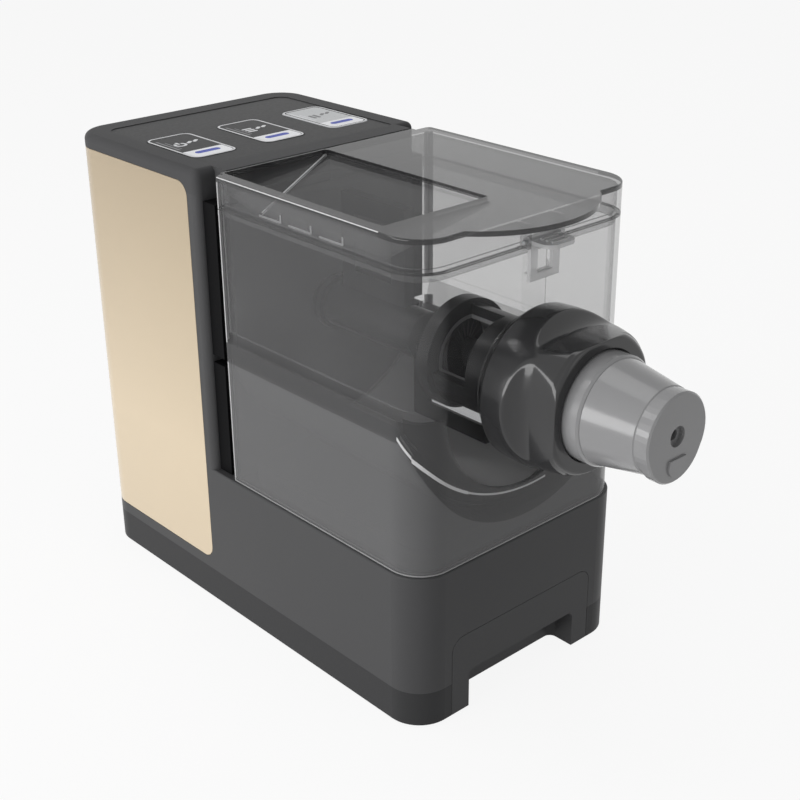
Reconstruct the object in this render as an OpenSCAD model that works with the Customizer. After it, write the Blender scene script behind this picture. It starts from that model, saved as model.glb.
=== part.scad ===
// Electric pasta maker: a motor tower, a clear kneading hopper and an extrusion nozzle.
// Millimetres. X is to the right seen from the front, the nozzle points to -Y, Z is up.

/* [Body] */
// Width of the base and the motor tower
body_w = 176; // [160:1:200]
// Depth of the base, front plane of the hopper to the rear
body_l = 330; // [310:1:360]
// Height of the whole machine
body_h = 300; // [290:1:330]
// Height of the seam between the base and the hopper
base_h = 102; // [96:1:110]
// Plan radius of the upright corners
corner_r = 22; // [14:1:26]
// Wall of the casing mouldings
case_wall = 3; // [2.5:0.1:4]
// How far the base stands proud of the hopper front
base_step = 1; // [0.5:0.1:3]
// Height of the bottom tray's seam
tray_h = 24; // [20:1:26]
// Floor of the bottom tray
tray_floor = 2.5; // [2:0.1:3.5]
// Clear height under the bottom tray
ground_gap = 1.5; // [1:0.1:3]
// Radius of a rubber foot
foot_r = 8; // [6:0.5:10]
// Running clearance between seated mouldings
fit = 0.3; // [0.2:0.05:0.4]
// Diameter of the casing screws
screw_d = 3; // [2.5:0.5:4]

/* [Tower] */
// Distance from the hopper front plane to the tower front
tower_y = 190; // [188:1:200]
// Radius of the tower's front corners
tower_front_r = 5; // [4.8:0.1:6]
// Height of the top cover
cover_h = 15; // [13:1:18]
// Radius of the top cover's upper edge
cover_edge_r = 4.5; // [2:0.5:4.5]
// Width of the neck that fills the gap behind the hopper
neck_w = 147; // [136:1:152]
// Depth of the neck in front of the tower
neck_d = 13; // [11:0.5:14]
// Thickness of the coloured side panels
panel_t = 1.5; // [1:0.1:1.8]
// Lower edge of the side panels
panel_z0 = 32; // [28:1:40]
// Distance from the side panels' upper edge to the machine's top
panel_top_gap = 9; // [7:1:12]
// Distance from the tower front to the side panels
panel_y_gap = 10; // [8:1:14]
// Radius of the side panels' front corners
panel_r = 9; // [5:1:12]
// How far the side panels reach round on to the rear face
panel_wrap = 24; // [22:1:30]

/* [Control panel] */
// Distance from the tower's sides to the control panel
control_side = 16; // [14:1:22]
// Length of the control panel
control_l = 117.5; // [110:0.5:120]
// Distance from the tower front to the control panel
control_gap = 4.5; // [4:0.5:8]
// Thickness of the control panel
control_t = 2.6; // [2:0.1:3]
// How far the control panel lies below the rim
control_sink = 0.4; // [0.3:0.1:0.8]
// Radius of the control panel's rear corners
control_rear_r = 8; // [4:1:12]
// Width of a key
key_w = 33.5; // [28:0.5:34]
// Length of a key
key_l = 58; // [50:1:62]
// Web of the control panel beside the outer keys
key_side = 1; // [0.8:0.1:3]
// How far the keys lie below the rim
key_drop = 0.2; // [0.1:0.05:0.3]
// Distance from the control panel's front edge to the keys
key_gap = 19; // [10:1:22]
// Corner radius of a key
key_r = 6.5; // [4:0.5:8]
// Thickness of a key cap
key_t = 2; // [1.6:0.1:2.4]
// Travel of a key
key_travel = 0.8; // [0.5:0.1:1]
// Rim of the key round its light strip
light_edge = 2.2; // [1.5:0.1:4]
// Depth of the light strip
light_l = 15; // [8:0.5:18]
// Thickness of the light strip
light_t = 0.6; // [0.4:0.1:1]
// Radius of a key's stem
stem_r = 3; // [2.5:0.5:4]

/* [Hopper] */
// Width of the hopper and the lid
hopper_w = 172; // [164:1:174]
// Depth of the hopper and the lid
hopper_l = 174; // [168:1:174]
// Plan radius of the hopper's and the lid's rear corners
hopper_rear_r = 4; // [3:0.5:8]
// Wall of the clear mouldings
clear_wall = 2.6; // [2:0.1:3.2]
// Height of the lid's skirt
lid_h = 19; // [16:1:24]
// Thickness of the lid's plate
lid_t = 3; // [2:0.1:4]
// Height of the drive axis
axis_z = 202.5; // [200:0.5:206]
// Inner radius of the U-shaped trough
trough_r = 81; // [76:0.5:81]
// Radius of the fillet between the trough and the front wall
trough_fillet = 15; // [8:1:18]
// Width of the front lip where it leaves the lid
lip_w = 105; // [90:1:120]
// How far the front lip bulges out of the lid
lip_d = 24; // [18:1:28]
// Height of the plinth under the hopper
plinth_h = 14; // [10:1:16]
// Width of the cradle that carries the trough
cradle_w = 56; // [40:1:60]
// Height of the locating lip inside the hopper's rim
seat_h = 5; // [3:0.5:7]
// Thickness of the locating lip
seat_t = 1.4; // [1:0.1:2]

/* [Pour tray] */
// Width of the pouring recess in the lid
pour_w = 80.5; // [60:0.5:84]
// Length of the pouring recess
pour_l = 142.5; // [110:0.5:146]
// Distance from the lid's side wall to the recess
pour_side = 4.4; // [4.2:0.1:10]
// Depth of the pouring recess
pour_d = 15.6; // [10:0.1:15.6]
// Wall of the pouring recess
pour_wall = 1.4; // [1.2:0.1:2]
// Length of a pouring slot
slot_l = 20; // [14:1:22]
// Height of a pouring slot
slot_h = 4.6; // [4:0.1:6]
// Centre distance of the pouring slots
slot_pitch = 27; // [24:1:32]

/* [Latch] */
// Width of the latch body
latch_w = 23; // [18:1:26]
// Thickness of the latch body
latch_t = 2.4; // [2:0.1:3]
// How far the finger tab reaches out
latch_tab = 17; // [12:1:20]
// Height of the latch's hook below the lid's seam
latch_drop = 17; // [14:1:22]
// Radius of the latch pin
pin_r = 1.2; // [1:0.1:1.5]
// Thickness of the ears that carry the latch pin
ear_t = 2.4; // [2:0.1:3]

/* [Extruder] */
// Distance from the hopper front plane to the nozzle's end
nozzle_reach = 104; // [96:1:112]
// Outer radius of the extrusion tube
tube_r = 30; // [28:0.5:31]
// Bore radius of the extrusion tube
tube_bore_r = 24; // [22:0.5:25]
// Length of the extrusion tube behind the hopper front plane
tube_l = 58; // [50:1:62]
// Radius of the ring at the tube's rear mouth
ring_r = 33.5; // [32:0.1:33.8]
// Length of the mouth ring
ring_l = 9; // [6:0.5:12]
// Wall of the bush inside the tube
bush_t = 2.5; // [2:0.1:3]
// Radius of the tube's spigot under the nut
spigot_r = 34; // [33:0.1:34.2]
// Length of the tube's spigot in front of the hopper
spigot_l = 26; // [24:0.5:28]
// Radius of the tube's stop flange
flange_r = 39; // [37:0.5:41]
// Thickness of the stop flange
flange_t = 3; // [2:0.1:3.4]
// Radial height of a bayonet lug
lug_h = 1.8; // [1.2:0.1:2]
// Thickness of a bayonet lug
lug_t = 4; // [3:0.5:5]

/* [Locking nut] */
// Largest radius of the nut
nut_r = 46; // [44:0.5:48]
// Radius of the nut's front ring
nut_front_r = 41; // [39:0.5:42]
// Length of the nut
nut_l = 48; // [44:1:50]
// Gap between the nut and the stop flange
nut_gap = 1; // [0.5:0.1:1.5]
// Distance of the four finger scallops from the axis
scallop_r = 37.6; // [37.5:0.1:40]
// Radius of curvature of a finger scallop
scallop_curve = 60; // [50:1:90]

/* [Nozzle] */
// Radius of the nozzle's root collar
collar_r = 31.5; // [30:0.1:32]
// Radius of the nozzle at its end
nozzle_end_r = 24.5; // [22:0.1:26]
// Length of the end disc
disc_l = 9; // [7:0.5:12]
// Radius of the recess round the outlet
outlet_recess_r = 5.9; // [4:0.1:8]
// Radius of the outlet
outlet_r = 3.1; // [3:0.1:3.5]
// Wall of the nozzle
nozzle_wall = 3; // [2.5:0.1:4]

/* [Mixer] */
// Radius of the auger's flight
auger_r = 21; // [19:0.1:21.1]
// Radius of the auger's core
auger_core_r = 9.5; // [8:0.5:12]
// Pitch of the auger
auger_pitch = 26; // [20:1:32]
// Thickness of the auger's flight
flight_t = 3.4; // [2.5:0.1:5]
// Radius of the mixing shaft's hub
hub_r = 15; // [12:0.5:18]
// Radius of the steel drive shaft
shaft_r = 8; // [6:0.5:9]
// Width across the square drive
square_w = 10; // [8:0.5:11]
// Radial height of the scraper bar
bar_h = 6; // [4:0.5:8]
// Thickness of the scraper bar
bar_t = 4; // [3:0.5:5]
// Radial height of the front blade behind the bar
blade_h = 11; // [8:0.5:14]
// Thickness of the blades
blade_t = 8; // [6:0.5:10]
// Clearance of the rear paddle in the chamber
paddle_gap = 2.5; // [1.5:0.5:8]

/* [Drive] */
// Module of the gears
gear_module = 1.5; // [1.5:0.25:1.75]
// Teeth of the drive gear
gear_teeth = 64; // [60:2:66]
// Teeth of the motor pinion
pinion_teeth = 16; // [16:2:18]
// Face width of the drive gear
gear_w = 12; // [9:1:13]
// Backlash between the gears
backlash = 0.3; // [0.2:0.05:0.4]
// Outer radius of the shaft bearings
bearing_r = 16; // [14:0.5:18]
// Width of the shaft bearings
bearing_w = 10; // [8:0.5:11]
// Running clearance of a shaft in its bearing
run = 0.05; // [0.03:0.01:0.08]
// Radius of the gear motor
motor_r = 36; // [30:1:38]
// Length of the gear motor
motor_l = 78; // [60:1:84]
// Radius of the motor shaft
motor_shaft_r = 5; // [4:0.5:6]
// Thickness of the gear plate
plate_t = 4; // [3:0.5:5]
// Radius of the cooling fan
fan_r = 32; // [26:1:35]

/* [Drawer] */
// Width of the drawer front
drawer_w = 120; // [110:1:124]
// Top of the drawer front above the ground
drawer_top = 53.5; // [48:0.5:58]
// Radius of the drawer front's upper corners
drawer_r = 9; // [6:0.5:12]
// Length of the drawer behind its front
drawer_l = 140; // [110:1:150]
// Wall of the drawer
drawer_wall = 2.5; // [2:0.1:3]
// Width of the finger notch
notch_w = 92; // [80:1:96]
// Top of the finger notch above the ground
notch_top = 27; // [24:0.5:29]
// Depth of the finger notch
notch_d = 18; // [15:0.5:20]
// Radius of the finger notch's rear corners
notch_r = 5; // [3:0.5:7]

/* [Rear] */
// Distance from the side panels' rear edges to the rear cover
rear_gap = 5; // [4:0.5:12]
// Thickness of the rear cover
rear_t = 3; // [2:0.1:3]
// Lower edge of the rear cover
rear_z0 = 34; // [32:1:44]
// Number of vents in the rear cover
vent_n = 12; // [6:1:14]
// Length of a vent
vent_l = 76; // [50:1:84]
// Height of a vent
vent_h = 4; // [3:0.5:5]
// Centre distance of the vents
vent_pitch = 9; // [8:0.5:11]
// Width of the mains inlet
inlet_w = 30; // [28:1:34]
// Height of the mains inlet
inlet_h = 23; // [21:1:26]

/* [Hidden] */
$fn = 96;
// Planes along the machine, measured from the middle of its full length
front_y = nozzle_reach - (body_l + nozzle_reach) / 2;
base_y = front_y - base_step;
rear_y = front_y + body_l;
tower_front = front_y + tower_y;
neck_front = tower_front - neck_d;
hopper_rear = front_y + hopper_l;
seam_z = body_h - cover_h;
rim_z = body_h - lid_h;
panel_z1 = body_h - panel_top_gap;
panel_y0 = tower_front + panel_y_gap;
panel_x = body_w / 2 - panel_wrap;
// Control panel
control_w = body_w - 2 * control_side;
control_y0 = tower_front + control_gap;
control_y1 = control_y0 + control_l;
control_z1 = body_h - control_sink;
control_z0 = control_z1 - control_t;
cover_top_t = 3;
neck_step = 1.5;
cover_ceiling = control_z0 - cover_top_t;
key_y0 = control_y0 + key_gap;
key_y1 = key_y0 + key_l;
key_z1 = body_h - key_drop;
key_z0 = key_z1 - key_t;
key_pitch = (control_w - key_w) / 2 - key_side - fit;
key_edge_r = 0.4;
board_t = 1.6;
board_drop = 8;
board_z1 = cover_ceiling - board_drop;
switch_h = 3;
switch_w = 6;
post_r = 3;
// Hopper and lid
chamber_x = hopper_w / 2 - clear_wall;
chamber_y0 = front_y + clear_wall;
chamber_y1 = hopper_rear - clear_wall;
chamber_corner = corner_r - clear_wall;
trough_out = trough_r + clear_wall;
lip_r = (pow(lip_w / 2, 2) + pow(lip_d, 2)) / (2 * lip_d);
plinth_gap = clear_wall + 5;
cradle_y0 = chamber_y0 + 14;
cradle_y1 = chamber_y1 - 14;
cradle_top = base_h + plinth_h + 8;
pour_x0 = -chamber_x + pour_side;
pour_x1 = pour_x0 + pour_w;
pour_y1 = neck_front - fit;
pour_y0 = pour_y1 - pour_l;
pour_z1 = body_h - lid_t;
pour_z0 = pour_z1 - pour_d;
pour_corner = 1 + pour_wall;
pour_floor = pour_z0 + pour_wall;
slot_mid = (front_y + hopper_rear) / 2 + 16;
pour_crease_y = slot_mid + slot_pitch + slot_l / 2;
pour_facet_rise = 9;
ring_rise = 2;
lid_edge_r = 1;
seal_r = shaft_r + 5;
// Latch
pin_y = front_y - 5;
pin_z = rim_z + 5;
hook_z = rim_z - latch_drop;
catch_w = 9;
catch_h = 5;
catch_d = 3.4;
pad_t = 0.8;
ear_x = latch_w / 2 + 0.4;
// Extruder, nut and nozzle: stations along the axis in front of the hopper
tube_end = front_y + tube_l;
spigot_end = front_y - spigot_l;
seal_t = 1;
cup_t = 4;
cup_r = spigot_r - 0.4;
cup_y1 = spigot_end - seal_t;
cup_y0 = cup_y1 - cup_t;
nut_y1 = front_y - flange_t - nut_gap;
nut_y0 = nut_y1 - nut_l;
nut_bore_r = spigot_r + fit;
lug_y = front_y - 14;
lug_count = 3;
lug_angle = 24;
nut_turn = 60;
nozzle_end = front_y - nozzle_reach;
lug_boss_h = 1.2;
face_y = nozzle_end + lug_boss_h;
disc_y = face_y + disc_l;
disc_drop = 4.5;
hole_wall_r = spigot_r + fit;
window_y0 = chamber_y0 + 19.4;
window_y1 = tube_end - ring_l;
// Mixer stations behind the hopper front plane
auger_y0 = spigot_end + 6;
auger_y1 = tube_end + 18;
hub_y0 = auger_y1;
hub_y1 = chamber_y1 - 2;
arm_y0 = auger_y1 + 2;
arm_y1 = arm_y0 + 14;
bar_y0 = front_y + 28;
bar_r0 = ring_r + 0.8;
bar_r1 = bar_r0 + bar_h;
blade_r1 = bar_r1 + blade_h;
rear_arm_y0 = front_y + 100;
rear_arm_y1 = hub_y1 - 12;
paddle_r = min(trough_r - 2 * paddle_gap, rim_z - axis_z - paddle_gap);
socket_d = 14;
key_stub = 8;
key_stub_l = 20;
// Drive stations inside the tower
wall_in = tower_front + case_wall;
gear_y0 = wall_in + 5;
gear_y1 = gear_y0 + gear_w;
plate_y0 = gear_y1 + 4;
plate_y1 = plate_y0 + plate_t;
gear_pitch_r = gear_module * gear_teeth / 2;
pinion_pitch_r = gear_module * pinion_teeth / 2;
motor_z = axis_z - gear_pitch_r - pinion_pitch_r;
shaft_y0 = hub_y1 - socket_d + 1;
shaft_y1 = plate_y1 + 8;
bearing_y0 = neck_front + case_wall;
boss_r = bearing_r + case_wall;
motor_y0 = plate_y1;
motor_y1 = motor_y0 + motor_l;
fan_y0 = motor_y1 + 3;
fan_w = 10;
fan_hub_r = motor_shaft_r + 9;
fan_blades = 7;
standoff_r = 5;
screw_bite = 10;
standoff_x = 52;
plate_rim = 8;
plate_head = 15.9;
standoff_z = [motor_z - 18, board_z1 - board_t - plate_head - plate_rim];
// Drawer and bay
drawer_x = drawer_w / 2;
drawer_z0 = ground_gap;
tray_y0 = base_y + notch_d + drawer_wall;
tray_y1 = tray_y0 + drawer_l;
tray_z0 = ground_gap + tray_floor + 1.5;
tray_top = drawer_top - 4;
bay_x = drawer_x + fit;
bay_top = drawer_top + fit;
bay_y1 = tray_y1 + 4;
floor_y0 = tray_y0 + fit;
// Hooks on the neck that hold the hopper, and the power board's height
side_hook_t = 10;
side_hook_gap = 5;
side_hook_z = axis_z - 20;
board_stand = 6;
power_board_w = 116;
power_board_l = 42;
choke_h = 26;
capacitor_r = 8;
capacitor_h = 24;
relay_h = 15;
// Rear cover and inlet
rear_z1 = seam_z - 12;
rear_w = 2 * (panel_x - rear_gap);
inlet_z = rear_z0 + 22;
inlet_rim = 2;
inlet_flange = 4;
inlet_depth = 14;
vent_z0 = rear_z1 - 22 - (vent_n - 1) * vent_pitch;
foot_x = body_w / 2 - 16;
foot_ys = [front_y + 22, rear_y - 26];

// Plan outline with four round corners, from y0 to y1
module plan(w, y0, y1, rf, rb) {
    difference() {
        translate([-w / 2, y0]) square([w, y1 - y0]);
        for (s = [-1, 1]) {
            corner_cut(s, s * w / 2, y0, 1, rf);
            corner_cut(s, s * w / 2, y1, -1, rb);
        }
    }
}

// Square outside a quarter circle that rounds a plan corner
module corner_cut(s, x, y, t, r) {
    if (r > 0) {
        translate([x - s * r, y + t * r]) difference() {
            translate([s > 0 ? 0 : -r - 1, t > 0 ? -r - 1 : 0]) square(r + 1);
            circle(r);
        }
    }
}

// Straight prism over a plan outline
module prism(w, y0, y1, z0, z1, rf, rb) {
    translate([0, 0, z0]) linear_extrude(z1 - z0) plan(w, y0, y1, rf, rb);
}

// Prism inside another one, a wall w away from it
module inner_prism(x, y0, y1, z0, z1, r, w) {
    prism(x - 2 * w, y0 + w, y1 - w, z0, z1, r - w, r - w);
}

// Prism over the hopper's plan, a wall w away from its outside
module hopper_prism(z0, z1, w) {
    prism(hopper_w - 2 * w, front_y + w, hopper_rear - w, z0, z1, corner_r - w, hopper_rear_r - w);
}

// Block on the upper side of the plane through a, b and c, from z0 to z1 above that plane
module slab_on(a, b, c, z0, z1) {
    n = cross(b - a, c - a);
    m = n[2] < 0 ? -n : n;
    translate(a) rotate([0, acos(m[2] / norm(m)), atan2(m[1], m[0])]) {
        translate([-body_l, -body_l, z0]) cube([2 * body_l, 2 * body_l, z1 - z0]);
    }
}

// Prism whose upper edge is rounded with radius e
module soft_prism(w, y0, y1, z0, z1, rf, rb, e) {
    prism(w, y0, y1, z0, z1 - e, rf, rb);
    prism(w - 2 * e, y0 + e, y1 - e, z0, z1, rf - e, rb - e);
    translate([0, 0, z1 - e]) {
        for (s = [-1, 1]) {
            translate([s * (w / 2 - e), y0 + rf, 0]) rotate([-90, 0, 0]) {
                cylinder(r = e, h = y1 - y0 - rf - rb, $fn = 32);
            }
            edge_torus(s, w / 2 - rf, y0 + rf, -1, rf, e);
            edge_torus(s, w / 2 - rb, y1 - rb, 1, rb, e);
        }
        for (q = [[w / 2 - rf, y0 + e], [w / 2 - rb, y1 - e]]) {
            translate([-q[0], q[1], 0]) rotate([0, 90, 0]) cylinder(r = e, h = 2 * q[0], $fn = 32);
        }
    }
}

// Quarter torus at an upright corner of a soft prism
module edge_torus(s, x, y, t, r, e) {
    start = s > 0 ? (t > 0 ? 0 : 270) : (t > 0 ? 90 : 180);
    translate([s * x, y, 0]) rotate([0, 0, start]) rotate_extrude(angle = 90) {
        intersection() {
            translate([r - e, 0]) circle(e, $fn = 32);
            translate([0, -e]) square([r, 2 * e]);
        }
    }
}

// Cylinder along Y about the drive axis, or about a height z and a place x
module along(y0, y1, r, z = axis_z, x = 0) {
    translate([x, y0, z]) rotate([-90, 0, 0]) cylinder(r = r, h = y1 - y0);
}

// Cone along Y about the drive axis
module cone_along(y0, y1, r0, r1) {
    translate([0, y0, axis_z]) rotate([-90, 0, 0]) cylinder(r1 = r0, r2 = r1, h = y1 - y0);
}

// Ring along Y about the drive axis
module ring_along(y0, y1, r, bore, z = axis_z) {
    difference() {
        along(y0, y1, r, z);
        along(y0 - 1, y1 + 1, bore, z);
    }
}

// Block given by its corners
module block(x0, x1, y0, y1, z0, z1) {
    translate([x0, y0, z0]) cube([x1 - x0, y1 - y0, z1 - z0]);
}

// Upright cylinder
module post(x, y, z0, z1, r) {
    translate([x, y, z0]) cylinder(r = r, h = z1 - z0, $fn = 48);
}

// Front view outline with round upper corners, extruded along Y
module front_arch(x, y0, y1, z0, z1, r) {
    difference() {
        block(-x, x, y0, y1, z0, z1);
        for (s = [-1, 1]) {
            difference() {
                translate([s * (x - r / 2 + 1) - r / 2 - 1, y0 - 1, z1 - r]) {
                    cube([r + 2, y1 - y0 + 2, r + 1]);
                }
                translate([s * (x - r), y0 - 2, z1 - r]) rotate([-90, 0, 0]) {
                    cylinder(r = r, h = y1 - y0 + 4);
                }
                block(min(0, s * (x - r)), max(0, s * (x - r)), y0 - 2, y1 + 2, z1 - r - 1, z1 + 2);
            }
        }
    }
}

// Side view outline of a side panel, larger by grow, as a slab along X
module panel_side(grow) {
    z0 = panel_z0 - grow;
    z1 = panel_z1 + grow;
    y0 = panel_y0 - grow;
    r = panel_r + grow;
    difference() {
        block(-body_w, body_w, y0, rear_y + 1, z0, z1);
        for (z = [z0 + r, z1 - r]) {
            difference() {
                translate([-body_w - 1, y0 - 1, z - (z == z0 + r ? r + 1 : 0)]) {
                    cube([2 * body_w + 2, r + 1, r + 1]);
                }
                translate([-body_w - 2, y0 + r, z]) rotate([0, 90, 0]) cylinder(r = r, h = 2 * body_w + 4);
            }
        }
    }
}

// Outer skin of the tower between two side panels' limits, thick t, grown at its edges by grow
module panel_skin(s, t, grow) {
    x0 = panel_x - grow;
    intersection() {
        difference() {
            prism(body_w, base_y, rear_y, 0, body_h, corner_r, corner_r);
            inner_prism(body_w, base_y, rear_y, -1, body_h + 1, corner_r, t);
        }
        panel_side(grow);
        block(s > 0 ? x0 : -body_w, s > 0 ? body_w : -x0, 0, body_l, 0, body_h);
    }
}

module main_casing() {
    color("#585858") difference() {
        union() {
            difference() {
                union() {
                    soft_prism(body_w, base_y, rear_y, tray_h, base_h, corner_r, corner_r, base_step);
                    prism(body_w, tower_front, rear_y, base_h - 5, seam_z, tower_front_r, corner_r);
                    block(-neck_w / 2, neck_w / 2, neck_front, tower_front + 1, base_h - 5, seam_z);
                }
                casing_hollow();
            }
            bay_walls();
            casing_bosses();
            hopper_plinth();
        }
        for (s = [-1, 1]) {
            panel_skin(s, panel_t, fit);
        }
        front_arch(bay_x, base_y - 1, bay_y1, 0, bay_top, drawer_r + fit);
        along(neck_front - 1, wall_in + 1, shaft_r + fit + 1);
        along(bearing_y0, wall_in + 1, bearing_r);
        rear_opening();
        for (x = [-1, 1], z = standoff_z) {
            along(plate_y0 - screw_bite - 2, plate_y0 + 1, screw_d / 2, z, x * standoff_x);
        }
    }
}

// Inside of the base and the tower
module casing_hollow() {
    w = case_wall;
    inner_prism(body_w, base_y, rear_y, tray_h - 1, base_h - w, corner_r, w);
    tower_hollow(base_h - w - 1, seam_z + 1);
    neck_hollow(neck_front + w, base_h + w, seam_z + 1);
}

// Inside of the tower's walls
module tower_hollow(z0, z1) {
    w = case_wall;
    prism(body_w - 2 * w, tower_front + w, rear_y - w, z0, z1, tower_front_r, corner_r - w);
}

// Inside of the neck's walls from y0 back into the tower
module neck_hollow(y0, z0, z1) {
    w = case_wall;
    block(-neck_w / 2 + w, neck_w / 2 - w, y0, tower_front + w + 1, z0, z1);
}

// Walls that part the drawer bay from the rest of the base
module bay_walls() {
    w = case_wall;
    difference() {
        block(-bay_x - w, bay_x + w, base_y + w - 1, bay_y1 + w, tray_h, bay_top + w);
        block(-bay_x, bay_x, base_y + w - 2, bay_y1, 0, bay_top);
    }
}

// Bearing boss in the neck, gear plate standoffs and the boards' posts
module casing_bosses() {
    along(neck_front + 1, wall_in, boss_r);
    for (x = [-1, 1], z = standoff_z) {
        along(neck_front + 1, plate_y0, standoff_r, z, x * standoff_x);
    }
    x = rear_frame_x();
    block(-x, x, rear_y - case_wall - 9, rear_y - case_wall + 1, rear_z0 - 6, rear_z1 + 6);
}

// Plinth under the hopper with its saddle for the trough
module hopper_plinth() {
    difference() {
        union() {
            inner_prism(hopper_w, front_y, hopper_rear, base_h - 1, base_h + plinth_h, corner_r, plinth_gap);
            block(-cradle_w / 2, cradle_w / 2, cradle_y0, cradle_y1, base_h, cradle_top);
        }
        along(chamber_y0, chamber_y1, trough_out + fit);
    }
}

// Opening in the rear wall and its rebate for the rear cover
module rear_opening() {
    x = rear_w / 2;
    block(-x + 5, x - 5, rear_y - case_wall - 10, rear_y + 1, rear_z0 + 5, rear_z1 - 5);
    block(-x - fit, x + fit, rear_y - rear_t, rear_y + 1, rear_z0 - fit, rear_z1 + fit);
    for (p = rear_screws()) {
        along(rear_y - case_wall - 7, rear_y - rear_t + 1, screw_d / 2, p[1], p[0]);
    }
}

// Half width of the frame behind the rear cover
function rear_frame_x() = rear_w / 2 + 5;

// Places of the rear cover's screws
function rear_screws() = [for (x = [-1, 1], z = [rear_z0 + 12, rear_z1 - 12]) [x * (rear_w / 2 - 4), z]];

module bottom_tray() {
    w = case_wall;
    color("#4c4c4c") difference() {
        union() {
            difference() {
                prism(body_w, base_y, rear_y, ground_gap, tray_h, corner_r, corner_r);
                inner_prism(body_w, base_y, rear_y, ground_gap + tray_floor, tray_h + 1, corner_r, w);
            }
            difference() {
                block(-bay_x - w, bay_x + w, base_y + w - 1, bay_y1 + w, ground_gap, tray_h);
                block(-bay_x, bay_x, base_y + w - 2, bay_y1, ground_gap + tray_floor, tray_h + 1);
            }
            for (x = [-1, 1], y = tray_screw_ys()) {
                post(x * tray_screw_x(), y, ground_gap, tray_h, screw_d + 1.5);
            }
        }
        block(-bay_x, bay_x, base_y - 1, floor_y0, 0, tray_h + 1);
        for (x = [-1, 1], y = foot_ys) {
            post(x * foot_x, y, 0, ground_gap + 1, foot_r);
        }
        for (x = [-1, 1], y = tray_screw_ys()) {
            post(x * tray_screw_x(), y, 0, tray_h + 1, screw_d / 2);
            post(x * tray_screw_x(), y, 0, ground_gap + screw_d * 0.6, screw_d);
        }
        for (i = [0 : 7]) {
            block(-40, 40, tower_front + 30 + i * 10, tower_front + 34 + i * 10, 0, tray_h);
        }
    }
}

// Places of the bottom tray's screws
function tray_screw_x() = body_w / 2 - 13;
function tray_screw_ys() = [front_y + 52, (front_y + rear_y) / 2, rear_y - 56];

module rubber_feet() {
    color("#222222") for (x = [-1, 1], y = foot_ys) {
        post(x * foot_x, y, 0, ground_gap + 1, foot_r);
    }
}

module tray_screws() {
    color("silver") for (x = [-1, 1], y = tray_screw_ys()) {
        post(x * tray_screw_x(), y, ground_gap, ground_gap + screw_d * 0.6, screw_d);
        post(x * tray_screw_x(), y, ground_gap, tray_h - 2, screw_d / 2);
    }
}

module top_cover() {
    w = case_wall;
    color("#4f4f4f") difference() {
        union() {
            soft_prism(body_w, tower_front, rear_y, seam_z, body_h, tower_front_r, corner_r, cover_edge_r);
            block(-neck_w / 2, neck_w / 2, neck_front + neck_step, tower_front + 5, seam_z, body_h);
        }
        tower_hollow(seam_z - 1, cover_ceiling);
        neck_hollow(neck_front + neck_step + w, seam_z - 1, cover_ceiling);
        prism(control_w + 2 * fit, control_y0 - fit, control_y1 + fit, control_z0, body_h + 1, 3, control_rear_r);
        for (i = [-1 : 1]) {
            post(i * key_pitch, (key_y0 + key_y1) / 2, cover_ceiling - 1, control_z0 + 1, stem_r + fit);
        }
        for (s = [-1, 1]) {
            panel_skin(s, panel_t, fit);
        }
    }
    color("#4f4f4f") for (x = [-1, 1], y = board_post_ys()) {
        post(x * board_post_x(), y, board_z1, cover_ceiling + 1, post_r);
    }
}

// Places of the control board's posts
function board_post_x() = control_w / 2 - 6;
function board_post_ys() = [control_y0 + 10, control_y1 - 10];

module control_panel() {
    color("#3c3c3c") difference() {
        prism(control_w, control_y0, control_y1, control_z0, control_z1, 3 - fit, control_rear_r - fit);
        for (i = [-1 : 1]) {
            translate([i * key_pitch, 0, 0]) {
                inner_prism(key_w, key_y0, key_y1, control_z0 - 1, body_h, key_r, -fit);
            }
        }
    }
}

// Key cap with its stem and the rebate for its light strip
module key_cap(i) {
    translate([i * key_pitch, 0, 0]) {
        difference() {
            soft_prism(key_w, key_y0, key_y1, key_z0, key_z1, key_r, key_r, key_edge_r);
            strip(fit);
        }
        post(0, (key_y0 + key_y1) / 2, board_z1 + switch_h + key_travel + fit, key_z0 + 0.2, stem_r);
    }
}

// Light strip at the front end of a key, grown sideways by grow
module strip(grow) {
    x = key_w - 2 * light_edge + 2 * grow;
    y0 = key_y0 + light_edge - grow;
    y1 = key_y0 + light_edge + light_l + grow;
    prism(x, y0, y1, key_z1 - light_t, key_z1 + (grow > 0 ? 1 : 0), key_r - light_edge + grow, 1);
}

module power_key() color("#3c3c3c") key_cap(-1);
module menu_key() color("#3c3c3c") key_cap(0);
module start_key() color("#c8ccd0") key_cap(1);
module power_light() color("#dde2f4") translate([-key_pitch, 0, 0]) strip(0);
module menu_light() color("#dde2f4") strip(0);
module start_light() color("#dde2f4") translate([key_pitch, 0, 0]) strip(0);

module side_panel_left() {
    color("#cdbb98") panel_skin(-1, panel_t, 0);
}

module side_panel_right() {
    color("#cdbb98") panel_skin(1, panel_t, 0);
}

module rear_cover() {
    color("#4c4c4c") difference() {
        block(-rear_w / 2, rear_w / 2, rear_y - rear_t, rear_y, rear_z0, rear_z1);
        for (i = [0 : vent_n - 1]) {
            z = vent_z0 + i * vent_pitch;
            block(-vent_l / 2, vent_l / 2, rear_y - rear_t - 1, rear_y + 1, z, z + vent_h);
        }
        inlet_block(inlet_rim, rear_y - rear_t - 1, rear_y + 1);
        for (p = rear_screws()) {
            along(rear_y - rear_t - 1, rear_y + 1, screw_d / 2, p[1], p[0]);
            along(rear_y - 1.4, rear_y + 1, screw_d * 0.8, p[1], p[0]);
        }
    }
}

// Block as large as the inlet's body, w smaller all round
module inlet_block(w, y0, y1) {
    x = inlet_w / 2 - w;
    z = inlet_h / 2 - w;
    block(-x, x, y0, y1, inlet_z - z, inlet_z + z);
}

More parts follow.
